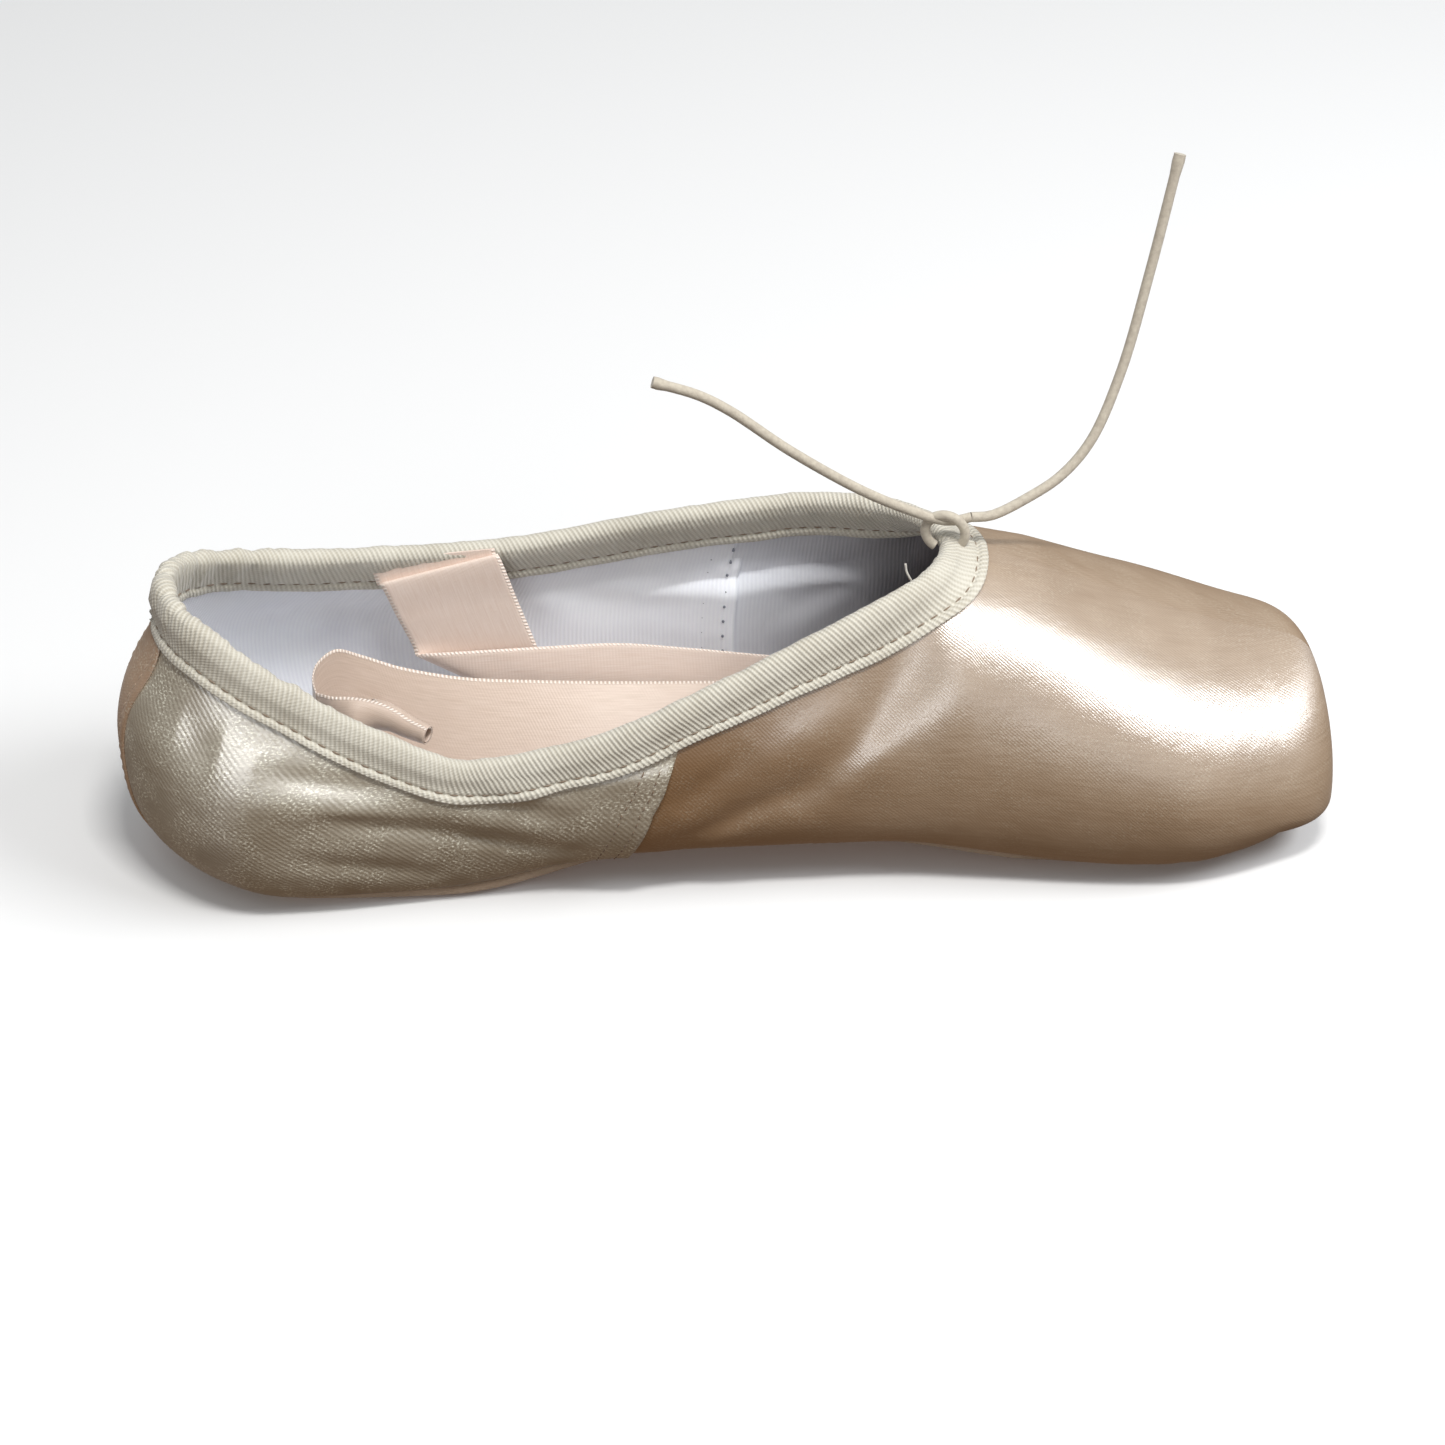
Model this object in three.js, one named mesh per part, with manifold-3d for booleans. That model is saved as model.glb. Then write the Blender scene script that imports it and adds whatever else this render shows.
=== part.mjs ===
// A satin pointe shoe lying on its sole, its drawstring knotted at the throat and its two ribbons
// tucked inside. Millimetres: +X runs from the heel to the toe, +Y to the far side, +Z up.
// The origin is on the floor under the middle of the shoe.
//
// The upper is one skin, written as a point for each (u, t) on each side. u runs along the shoe:
// 0 is the back seam, 1 the throat, 2 the edge of the platform and 3 its centre. t runs up the
// wall: 0 is the feather edge at the sole, 1 the top edge or, in front of the throat, the ridge.
import * as THREE from "three";
import { mergeVertices } from "three/addons/utils/BufferGeometryUtils.js";
import Module from "manifold-3d";

const wasm = await Module();
wasm.setup();

const FAR = 1;
const NEAR = -1;
const SIDES = { far: FAR, near: NEAR };

// Driving dimensions
const shoeLength = 238;
const toeX = shoeLength / 2;
const heelX = -shoeLength / 2;
const heelTopX = -109; // the back of the top edge leans forward of the heel's roundest line
const heelSoleX = -104; // and the feather edge tucks under it
const throatX = 44;
const soleFrontX = 106; // the sole's round front end, short of the platform
const soleRoundFrom = 84;
const heelRadius = 27;
const tipRadius = 9;
const tipBulge = 1.2;
const widestAt = 0.4; // the share of t below the widest line
const fullness = 0.85; // under 1 makes the lower wall squarer than an ellipse
const wallLean = THREE.MathUtils.degToRad(18);

const floorGap = 1.6; // the outsole's depth below the feather edge
const gap = 0.3;
const satinThick = 0.9;
const liningThick = 0.8;
const boxThick = 2;
const boxDepth = 1.5;
const liningDepth = 1.4;
const liningInBox = 3.4; // how much deeper the lining lies where the box is between it and the satin

const tapeThick = 0.8;
const casingDrop = 7;
const cordRadius = 1;
const foldMiddle = -1.1; // the casing's fold is centred a little inside the top edge
const cordAbove = 1.5; // and the cord runs this far above it
const holeAbove = 3.6; // where the cord comes out through the fold
const casingFrames = 56;

// Profiles along the shoe, as [x, value]
const soleHalfWidth = smooth([[-104, 14], [-85, 20.5], [-55, 22], [-15, 17], [20, 18.5], [60, 24], [84, 24]]);
const soleHeight = smooth([
  [-119, 3.5], [-95, floorGap], [-58, floorGap], [-15, 6.4], [25, 7], [60, 3.2], [78, floorGap], [98, floorGap],
  [119, 3.7],
]);
const bodyHalfWidth = smooth([
  [-119, 27], [-90, 31], [-50, 29], [-15, 30.5], [20, 30.5], [52, 34], [85, 37.5], [119, 28],
]);
const bodyHeight = smooth([[-119, 26], [-60, 24], [0, 22], [52, 21], [90, 16.5], [119, 11]]);
const ridgeHeight = smooth([[44, 61.5], [52, 59], [80, 46.6], [105, 37.3], [119, 34.4]]);

// The top edge, as [u, value]: the near side has slumped to a kink by the waist
const throatHeight = ridgeHeight(throatX);
const topHalfWidth = {
  [FAR]: smooth([
    [0, 0], [0.12, 13], [0.25, 20], [0.4, 23], [0.55, 25], [0.7, 25.5], [0.82, 19.5], [0.92, 11], [1, 0],
  ]),
  [NEAR]: smooth([
    [0, 0], [0.12, 13], [0.25, 21.5], [0.4, 27.5], [0.55, 28], [0.7, 22.5], [0.82, 16.5], [0.92, 9.5], [1, 0],
  ]),
};
const topHeight = {
  [FAR]: smooth([
    [0, 61], [0.15, 56], [0.3, 51], [0.45, 49.5], [0.6, 53.5], [0.8, 57.5], [0.92, 60], [1, throatHeight],
  ]),
  [NEAR]: smooth([
    [0, 61], [0.14, 57.2], [0.25, 47.8], [0.35, 37.4], [0.42, 31.3], [0.5, 34.2], [0.62, 44.8], [0.8, 57],
    [0.92, 60.5], [1, throatHeight],
  ]),
};

// Where the pieces meet, in u
const sideSeam = (t) => 0.543 + 0.046 * THREE.MathUtils.smoothstep(t, 0, 0.55);
const liningSeam = 0.67;
const seamGap = 0.002;
const boxStart = (t) => 0.72 + 0.5 * THREE.MathUtils.smoothstep(t, 0.45, 0.76);

// A smooth curve through [x, value] points that never overshoots them
function smooth(points) {
  const xs = points.map((p) => p[0]);
  const ys = points.map((p) => p[1]);
  const last = xs.length - 1;
  const step = xs.slice(1).map((x, i) => x - xs[i]);
  const rise = step.map((h, i) => (ys[i + 1] - ys[i]) / h);
  const slope = xs.map((_, i) => {
    if (i === 0) return rise[0];
    if (i === last) return rise[last - 1];
    if (rise[i - 1] * rise[i] <= 0) return 0;
    const before = 2 * step[i] + step[i - 1];
    const after = step[i] + 2 * step[i - 1];
    return (before + after) / (before / rise[i - 1] + after / rise[i]);
  });
  return (x) => {
    const at = THREE.MathUtils.clamp(x, xs[0], xs[last]);
    const i = THREE.MathUtils.clamp(xs.findIndex((v) => v > at) - 1, 0, last - 1);
    const k = at >= xs[last] ? last - 1 : i;
    const h = step[k];
    const f = (at - xs[k]) / h;
    return (
      (2 * f ** 3 - 3 * f ** 2 + 1) * ys[k] +
      (f ** 3 - 2 * f ** 2 + f) * h * slope[k] +
      (-2 * f ** 3 + 3 * f ** 2) * ys[k + 1] +
      (f ** 3 - f ** 2) * h * slope[k + 1]
    );
  };
}

// A quarter circle's rise from 0 to 1
const roundEnd = (f) => Math.sqrt(1 - (1 - THREE.MathUtils.clamp(f, 0, 1)) ** 2);

// x at u: a cosine along the opening, so that the heel is round, then straight to the tip
function xAlong(u, from) {
  if (u <= 1) return from + ((throatX - from) * (1 - Math.cos(u * Math.PI))) / 2;
  return throatX + (toeX - throatX) * (u - 1);
}

// The lines that the skin hangs on at u: feather edge, widest line and top edge, as x, half width, z
function rails(u, side) {
  const xSole = xAlong(u, heelSoleX);
  const xBody = xAlong(u, heelX);
  const xTop = xAlong(u, heelTopX);
  const intoTip = THREE.MathUtils.clamp((tipRadius - toeX + xBody) / tipRadius, 0, 1);
  const inset = tipRadius * (1 - Math.sqrt(1 - intoTip ** 2));
  const toeRound = roundEnd((soleFrontX - xSole) / (soleFrontX - soleRoundFrom));
  const open = u < 1;
  return {
    sole: [
      xSole,
      soleHalfWidth(xSole) * roundEnd((xSole - heelSoleX) / 22) * toeRound,
      soleHeight(xSole) + inset / 2,
    ],
    body: [xBody, bodyHalfWidth(xBody) * roundEnd((xBody - heelX) / heelRadius) - inset, bodyHeight(xBody)],
    top: [xTop, open ? topHalfWidth[side](u) : 0, open ? topHeight[side](u) : ridgeHeight(xTop) - inset],
    lean: THREE.MathUtils.lerp(wallLean, Math.PI / 2, THREE.MathUtils.smoothstep(u, 0.8, 1)),
  };
}

const bezier = (a, b, c, d, f) =>
  (1 - f) ** 3 * a + 3 * (1 - f) ** 2 * f * b + 3 * (1 - f) * f ** 2 * c + f ** 3 * d;

// A point of the upper's outer face
function skin(u, t, side) {
  if (u > 2) return platform(u - 2, t, side);
  const { sole, body, top, lean } = rails(u, side);
  if (t <= widestAt) {
    const turn = ((t / widestAt) * Math.PI) / 2;
    const out = Math.sin(turn) ** fullness;
    return new THREE.Vector3(
      THREE.MathUtils.lerp(sole[0], body[0], out),
      side * THREE.MathUtils.lerp(sole[1], body[1], out),
      THREE.MathUtils.lerp(body[2], sole[2], Math.max(Math.cos(turn), 0) ** fullness),
    );
  }
  const f = (t - widestAt) / (1 - widestAt);
  const rise = top[2] - body[2];
  const reach = 0.55 * (rise * Math.cos(lean) ** 2 + Math.max(body[1] - top[1], 2) * Math.sin(lean) ** 2);
  return new THREE.Vector3(
    THREE.MathUtils.lerp(body[0], top[0], f * f * (3 - 2 * f)),
    side * bezier(body[1], body[1], top[1] + reach * Math.sin(lean), top[1], f),
    bezier(body[2], body[2] + 0.55 * rise, top[2] - reach * Math.cos(lean), top[2], f),
  );
}

// The flat oval end of the toe, from its edge at f = 0 to its centre at f = 1
function platform(f, t, side) {
  const edge = skin(2, t, side);
  const low = skin(2, 0, side).z;
  const high = skin(2, 1, side).z;
  const centre = new THREE.Vector3(toeX, 0, (low + high) / 2);
  edge.lerp(centre, f);
  edge.x = toeX + tipBulge * roundEnd(f);
  return edge;
}

// The outward direction at a point of the skin, which has no y part on the middle plane
function outward(u, t, side) {
  const d = 0.004;
  if (u > 2.5) return new THREE.Vector3(1, 0, 0);
  const u0 = Math.max(u - d, 0);
  const u1 = u <= 2 ? Math.min(u + d, 2) : u + d;
  const t0 = Math.max(t - d, 0);
  const t1 = Math.min(t + d, 1);
  const along = skin(u1, t, side).sub(skin(u0, t, side));
  const up = skin(u, t1, side).sub(skin(u, t0, side));
  const normal = along.cross(up).multiplyScalar(-side);
  if (Math.abs(skin(u, t, side).y) < 1e-6) normal.y = 0;
  return normal.normalize();
}

// Open sheets of quads, later thickened. Points closer than a micron are one point.
class Sheet {
  constructor() {
    this.points = [];
    this.normals = [];
    this.quads = [];
    this.known = new Map();
  }
  add(point, normal) {
    const key = point.toArray().map((v) => Math.round(v * 1000)).join();
    if (!this.known.has(key)) {
      this.known.set(key, this.points.length);
      this.points.push(point);
      this.normals.push(new THREE.Vector3());
    }
    const index = this.known.get(key);
    this.normals[index].add(normal);
    return index;
  }
  // Rows and columns of points from at(row share, column share), which gives { point, normal }
  grid(rows, columns, at, flip) {
    const index = [];
    for (let i = 0; i <= rows; i++) {
      index.push([]);
      for (let j = 0; j <= columns; j++) {
        const { point, normal } = at(i / rows, j / columns);
        index[i].push(this.add(point, normal));
      }
    }
    for (let i = 0; i < rows; i++)
      for (let j = 0; j < columns; j++) {
        const quad = [index[i][j], index[i + 1][j], index[i + 1][j + 1], index[i][j + 1]];
        this.quads.push(flip ? quad.reverse() : quad);
      }
  }
  triangles() {
    const found = [];
    for (const [a, b, c, d] of this.quads) {
      if (a !== b && b !== c && a !== c) found.push([a, b, c]);
      if (a !== c && c !== d && a !== d) found.push([a, c, d]);
    }
    return found;
  }
  // A closed solid between two depths below the sheet
  solid(outerDepth, innerDepth) {
    const count = this.points.length;
    const at = (depth) =>
      this.points.map((p, i) => {
        const normal = this.normals[i].clone().normalize();
        return p.clone().addScaledVector(normal, -depth);
      });
    const positions = [...at(outerDepth), ...at(innerDepth)].flatMap((p) => p.toArray());
    const faces = this.triangles();
    const border = new Map();
    for (const face of faces)
      face.forEach((a, i) => {
        const b = face[(i + 1) % 3];
        if (border.has(b + "," + a)) border.delete(b + "," + a);
        else border.set(a + "," + b, [a, b]);
      });
    const all = [...faces, ...faces.map(([a, b, c]) => [a + count, c + count, b + count])];
    for (const [a, b] of border.values()) all.push([b, a, a + count], [b, a + count, b + count]);
    return closedGeometry(positions, all.flat());
  }
}

function closedGeometry(positions, index) {
  const geometry = new THREE.BufferGeometry();
  geometry.setAttribute("position", new THREE.Float32BufferAttribute(positions, 3));
  geometry.setIndex(index);
  geometry.computeVertexNormals();
  return geometry;
}

// A patch of the skin on one side, between two borders in u that may slant with t
function addPatch(sheet, side, { from, to, bottom = 0, top = 1, rows, columns, shift = 0, depth = 0 }) {
  const border = (value, t) => (typeof value === "function" ? value(t) : value);
  const at = (i, j) => {
    const t = THREE.MathUtils.lerp(bottom, top, j);
    const u = THREE.MathUtils.lerp(border(from, t), border(to, t), i);
    const normal = outward(u, t, side);
    const sunk = typeof depth === "function" ? depth(u, t) : depth;
    const point = skin(u, t, side).addScaledVector(normal, -sunk);
    point.y += side * shift;
    return { point, normal };
  };
  sheet.grid(rows, columns, at, side === FAR);
}

// Both sides of the front of the shoe, joined over the ridge, under the toe and across the platform
function frontSheet({ from, wingRows, columns, depth }) {
  const sheet = new Sheet();
  for (const side of Object.values(SIDES)) {
    addPatch(sheet, side, { from, to: 1, rows: wingRows, columns, depth });
    addToe(sheet, side, 1, columns, depth);
  }
  return sheet;
}

function addToe(sheet, side, from, columns, depth) {
  addPatch(sheet, side, { from, to: 1.75, rows: 5, columns, depth });
  addPatch(sheet, side, { from: 1.75, to: 2, rows: 4, columns, depth });
  addPatch(sheet, side, { from: 2, to: 3, rows: 2, columns, depth });
}

// How far the lining drops away from the satin to leave room for the box
function liningAt(u, t) {
  const start = boxStart(t - 0.12) - 0.04;
  const zone = THREE.MathUtils.smoothstep(u, start - 0.1, start);
  const throat = THREE.MathUtils.smoothstep(u, 0.8, 0.92) * (1 - THREE.MathUtils.smoothstep(u, 1, 1.1));
  return liningDepth + Math.max(liningInBox * zone, 0.5 * throat);
}

function quarter(side) {
  const sheet = new Sheet();
  addPatch(sheet, side, { from: 0, to: (t) => sideSeam(t) - seamGap, rows: 13, columns: 8, shift: gap / 2 });
  return sheet.solid(0, satinThick);
}

function vamp() {
  const sheet = frontSheet({ from: (t) => sideSeam(t) + seamGap, wingRows: 8, columns: 8 });
  return sheet.solid(0, satinThick);
}

function box() {
  const sheet = new Sheet();
  for (const side of Object.values(SIDES)) {
    addPatch(sheet, side, { from: boxStart, to: 1.75, rows: 8, columns: 8 });
    addPatch(sheet, side, { from: 1.75, to: 2, rows: 4, columns: 8 });
    addPatch(sheet, side, { from: 2, to: 3, rows: 2, columns: 8 });
  }
  return sheet.solid(boxDepth, boxDepth + boxThick);
}

function vampLining() {
  const sheet = frontSheet({ from: liningSeam + seamGap, wingRows: 8, columns: 8, depth: liningAt });
  return sheet.solid(0, liningThick);
}

function quarterLining(side) {
  const sheet = new Sheet();
  const to = liningSeam - seamGap;
  addPatch(sheet, side, { from: 0, to, rows: 13, columns: 8, shift: gap / 2, depth: liningAt });
  return sheet.solid(0, liningThick);
}

// Strips over the back seam, inside or outside
function backStrip({ bottom, top, reach, depth, thick }) {
  const sheet = new Sheet();
  for (const side of Object.values(SIDES))
    addPatch(sheet, side, { from: 0, to: reach, bottom, top, rows: 2, columns: 8, depth });
  return sheet.solid(0, thick);
}

// The top edge as a loop of frames, from the throat along the far side, round the heel and back
function topLoop(count) {
  const place = (s) => {
    const side = s < 0.5 ? FAR : NEAR;
    const u = Math.abs(1 - 2 * s);
    return { point: skin(u, 1, side), below: skin(u, 0.88, side), u };
  };
  const ridgeUp = skin(1, 1, FAR).sub(skin(1.09, 1, FAR)).normalize();
  const frames = [];
  for (let i = 0; i < count; i++) {
    const s = i / count;
    const { point, below, u } = place(s);
    const ahead = place((s + 0.004) % 1).point;
    const behind = place((s + 0.996) % 1).point;
    const tangent = ahead.sub(behind).normalize();
    const up = point.clone().sub(below).normalize();
    up.lerp(ridgeUp, THREE.MathUtils.smoothstep(u, 0.78, 1)).normalize();
    up.addScaledVector(tangent, -up.dot(tangent)).normalize();
    const out = new THREE.Vector3().crossVectors(tangent, up).normalize();
    frames.push({ point, up, out, u });
  }
  return frames;
}

// The drawstring casing: a tape folded over the top edge, both legs hanging down, cord inside its fold
function casing() {
  const arc = (radius, from, to, steps) => {
    const points = [];
    for (let i = 0; i <= steps; i++) {
      const angle = THREE.MathUtils.lerp(from, to, i / steps);
      points.push([foldMiddle + radius * Math.cos(angle), cordAbove + radius * Math.sin(angle)]);
    }
    return points;
  };
  const bore = cordRadius + 0.45;
  const outerLeg = 0.6;
  const innerLeg = -3.2;
  const splay = 1.9; // the legs open a little wider where they cross the throat
  const sectionAt = (wider) => [
    [outerLeg + wider * splay + tapeThick, -casingDrop],
    ...arc(bore + tapeThick, 0, Math.PI, 4),
    [innerLeg - wider * splay - tapeThick, -casingDrop],
    [innerLeg - wider * splay, -casingDrop],
    ...arc(bore, Math.PI, 0, 4),
    [outerLeg + wider * splay, -casingDrop],
  ];
  const frames = topLoop(casingFrames);
  const positions = [];
  const index = [];
  const wide = sectionAt(0).length;
  frames.forEach(({ point, up, out, u }) => {
    for (const [a, b] of sectionAt(THREE.MathUtils.smoothstep(u, 0.75, 0.95)))
      positions.push(...point.clone().addScaledVector(out, a).addScaledVector(up, b).toArray());
  });
  for (let i = 0; i < frames.length; i++)
    for (let j = 0; j < wide; j++) {
      const a = i * wide + j;
      const b = ((i + 1) % frames.length) * wide + j;
      const c = ((i + 1) % frames.length) * wide + ((j + 1) % wide);
      const d = i * wide + ((j + 1) % wide);
      index.push(a, b, c, a, c, d);
    }
  return cut(closedGeometry(positions, index), buttonhole());
}

// The hole at the throat where the drawstring leaves the casing
function buttonhole() {
  const { point, up, out } = topLoop(casingFrames)[0];
  const radius = 2 * cordRadius;
  const hole = new THREE.CylinderGeometry(radius, radius, 5, 12);
  hole.applyQuaternion(new THREE.Quaternion().setFromUnitVectors(new THREE.Vector3(0, 1, 0), up));
  const at = point.clone().addScaledVector(up, holeAbove).addScaledVector(out, foldMiddle);
  return hole.translate(at.x, at.y, at.z);
}

function solidOf(geometry) {
  const bare = geometry.clone();
  bare.deleteAttribute("normal");
  bare.deleteAttribute("uv");
  const merged = mergeVertices(bare, 1e-4);
  return new wasm.Manifold(
    new wasm.Mesh({
      numProp: 3,
      vertProperties: merged.attributes.position.array,
      triVerts: new Uint32Array(merged.index.array),
    }),
  );
}

function cut(body, ...tools) {
  const solid = tools.reduce((left, tool) => left.subtract(solidOf(tool)), solidOf(body));
  const mesh = solid.getMesh();
  const positions = [];
  for (let i = 0; i < mesh.numVert; i++)
    positions.push(...mesh.vertProperties.subarray(i * mesh.numProp, i * mesh.numProp + 3));
  return closedGeometry(positions, Array.from(mesh.triVerts));
}

function tube(points, radius, steps) {
  const ring = new THREE.Shape().absarc(0, 0, radius, 0, 2 * Math.PI);
  return new THREE.ExtrudeGeometry(ring, {
    extrudePath: new THREE.CatmullRomCurve3(points, false, "centripetal"),
    steps,
    curveSegments: 8,
    bevelEnabled: false,
  });
}

const vectors = (list) => list.map((p) => new THREE.Vector3(...p));

// The drawstring's run inside the casing, from one side of the throat round the heel to the other
function drawstringRun() {
  const frames = topLoop(72).slice(2, 71);
  const points = frames.map(({ point, up, out }) =>
    point.clone().addScaledVector(out, foldMiddle).addScaledVector(up, cordAbove),
  );
  return tube(points, cordRadius, 64);
}

// The knot: one overhand turn of the cord, pulled small, lying on the casing at the throat
const knotCentre = new THREE.Vector3(42, 0, 67.6);
const knotSize = 1.05;
const knotRadius = 0.85;
function knot() {
  const points = [];
  const steps = 30;
  for (let i = 0; i <= steps; i++) {
    const a = THREE.MathUtils.lerp(0.14, 2 * Math.PI - 0.14, i / steps) + Math.PI;
    const x = Math.sin(a) + 2 * Math.sin(2 * a);
    const y = Math.cos(a) - 2 * Math.cos(2 * a);
    const z = -1.15 * Math.sin(3 * a);
    points.push(new THREE.Vector3(x, y, z).multiplyScalar(knotSize).add(knotCentre));
  }
  return tube(points, knotRadius, 34);
}

// The two free ends of the drawstring, stiffened and standing out from the knot
const endTowardHeel = [
  [36.6, 0.5, 67.9], [31, 0.6, 70.6], [24, 1, 74.5], [12, 2, 82.5], [1, 4, 90.5], [-5, 4.5, 94], [-13.5, 5, 97],
];
const endTowardToe = [
  [47.4, 0.5, 66.2], [51.4, 1, 66], [59, 3, 68.5], [65.5, 5, 71.8], [71.5, 8, 77.5], [77.5, 13, 89.5],
  [83, 19, 107.5], [88.5, 25, 129.5],
];

// Floor pieces: slabs that follow the sole's height, inside or outside its edge
function slab({ from, to, low, high, width }) {
  const sheet = new Sheet();
  const rows = 16;
  const at = (i, j) => {
    const x = THREE.MathUtils.lerp(from, to, (1 - Math.cos(i * Math.PI)) / 2);
    const y = width(x) * (2 * j - 1);
    return { point: new THREE.Vector3(x, y, soleHeight(x) + high), normal: new THREE.Vector3(0, 0, 1) };
  };
  sheet.grid(rows, 4, at, false);
  return sheet.solid(0, high - low);
}

const soleEdge = (x, margin, back = heelSoleX, front = soleFrontX) => {
  const heelRound = roundEnd((x - back) / 22);
  const toeRound = roundEnd((front - x) / (soleFrontX - soleRoundFrom));
  return Math.max((soleHalfWidth(x) + margin) * Math.min(heelRound, toeRound), 0.4);
};

const inner = (margin) => (x) => soleEdge(x, margin, -100, 101);
const outsole = () =>
  slab({ from: -106, to: 108, low: -floorGap, high: -gap, width: (x) => soleEdge(x, 2.5, -106, 108) });
const insoleBoard = () => slab({ from: -99, to: 100, low: 0.4, high: 1.6, width: inner(-1) });
const sockLining = () => slab({ from: -99, to: 99, low: 4.9, high: 5.7, width: inner(-1) });
const filler = () => slab({ from: 32, to: 98, low: 1.9, high: 4.4, width: inner(-2) });

const shankHalfWidth = smooth([[-94, 5], [-88, 11], [-60, 13], [-15, 10], [20, 9], [31, 7]]);
const nailAt = [-84, -72, -60];
const nailRadius = 0.8;
function nail(x) {
  const head = 2;
  const base = soleHeight(x);
  const profile = [[0, 0.7], [nailRadius, 0.7], [nailRadius, 3.6], [head, 3.6], [head, 4.5], [0, 4.5]];
  const turned = new THREE.LatheGeometry(profile.map((p) => new THREE.Vector2(...p)), 10);
  return turned.rotateX(Math.PI / 2).translate(x, 0, base);
}
function nailHole(x, low, high, radius) {
  const hole = new THREE.CylinderGeometry(radius, radius, high - low, 10).rotateX(Math.PI / 2);
  return hole.translate(x, 0, soleHeight(x) + (low + high) / 2);
}
const nailBores = () => nailAt.map((x) => nailHole(x, -0.5, 6, nailRadius + gap));
const nailSeats = () => nailAt.map((x) => nailHole(x, 3.3, 6, 2 + gap));
const shank = () =>
  cut(slab({ from: -94, to: 31, low: 1.9, high: 4.4, width: shankHalfWidth }), ...nailBores(), ...nailSeats());
const boredInsole = () => cut(insoleBoard(), ...nailBores());

// Ribbons: bands drawn between two selvedges, each a list of [x, y, z]
function ribbon(upper, lower, rows) {
  const high = new THREE.CatmullRomCurve3(vectors(upper), false, "centripetal");
  const low = new THREE.CatmullRomCurve3(vectors(lower), false, "centripetal");
  const sheet = new Sheet();
  const across = (i, j) => low.getPoint(i).lerp(high.getPoint(i), j);
  const at = (i, j) => {
    const d = 0.01;
    const along = across(Math.min(i + d, 1), j).sub(across(Math.max(i - d, 0), j));
    const up = across(i, 1).sub(across(i, 0));
    return { point: across(i, j), normal: along.cross(up).normalize() };
  };
  sheet.grid(rows, 2, at, false);
  return sheet.solid(-0.3, 0.3);
}

// The far ribbon hangs from the far wall, turns a corner on the sock and runs to the toe
const ribbonFar = () =>
  ribbon(
    [[-42, 21, 44], [-39, 21, 34], [-36, 20, 25], [-20, 18.5, 23.5], [10, 17.5, 22.5], [36, 15, 25]],
    [[-67, 20.5, 42], [-63, 20, 31], [-56, 17.5, 17], [-38, 13, 13], [10, 12, 14], [36, 10, 15]],
    24,
  );
// The near ribbon lies in front of it, turned back on itself at the heel
const ribbonNear = () =>
  ribbon(
    [
      [36, 6, 23], [16, 7, 22], [-13, 8, 23.5], [-48, 9, 27],
      [-70, 9.5, 32], [-79, 4, 33], [-74, -2, 28], [-60, -5, 25],
    ],
    [
      [36, -9, 14], [16, -10, 14], [-13, -9, 13.6], [-48, -6, 11],
      [-70, -2, 12], [-79, -8, 14], [-71, -13, 14], [-59, -13, 15],
    ],
    30,
  );

const colours = {
  satin: 0xe3bf9e, tape: 0xdccdb4, cotton: 0xe9e6ee, paste: 0xcbb58c, board: 0x9a7b55, leather: 0xc9a27e,
  ribbon: 0xf0cdb6, cord: 0xd9cdb6, steel: 0x9c9c9c,
};
const looks = {
  satin: [0.35, 0], tape: [0.8, 0], cotton: [0.9, 0], paste: [0.9, 0], board: [0.8, 0], leather: [0.8, 0],
  ribbon: [0.4, 0], cord: [0.85, 0], steel: [0.35, 1],
};

const shoe = new THREE.Group();
function add(name, geometry, look) {
  const [roughness, metalness] = looks[look];
  const material = new THREE.MeshStandardMaterial({ color: colours[look], roughness, metalness });
  const mesh = new THREE.Mesh(geometry, material);
  mesh.name = name;
  shoe.add(mesh);
}

add("satin_vamp", vamp(), "satin");
add("toe_box", box(), "paste");
add("vamp_lining", vampLining(), "cotton");
for (const [name, side] of Object.entries(SIDES)) {
  add("satin_quarter_" + name, quarter(side), "satin");
  add("quarter_lining_" + name, quarterLining(side), "cotton");
}
add("back_seam_strip", backStrip({ bottom: 0.3, top: 0.8, reach: 0.09, depth: -1.2, thick: 0.7 }), "satin");
add("back_seam_tape", backStrip({ bottom: 0.3, top: 0.78, reach: 0.12, depth: 2.9, thick: 0.7 }), "tape");
add("drawstring_casing", casing(), "tape");
add("drawstring_run", drawstringRun(), "cord");
add("drawstring_knot", knot(), "cord");
add("drawstring_end_heelward", tube(vectors(endTowardHeel), cordRadius, 20), "cord");
add("drawstring_end_toeward", tube(vectors(endTowardToe), cordRadius, 28), "cord");
add("outsole", outsole(), "leather");
add("insole_board", boredInsole(), "board");
add("shank", shank(), "board");
nailAt.forEach((x, i) => add("shank_nail_" + (i + 1), nail(x), "steel"));
add("toe_filler", filler(), "paste");
add("sock_lining", sockLining(), "cotton");
add("ribbon_far", ribbonFar(), "ribbon");
add("ribbon_near", ribbonNear(), "ribbon");

export default shoe;
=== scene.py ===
"""A satin pointe shoe: satin upper, stiff box, ribbed drawstring casing, knotted cord and two ribbons."""
import math

import bmesh
import bpy
import numpy as np
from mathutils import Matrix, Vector, noise
from mathutils.bvhtree import BVHTree


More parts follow.
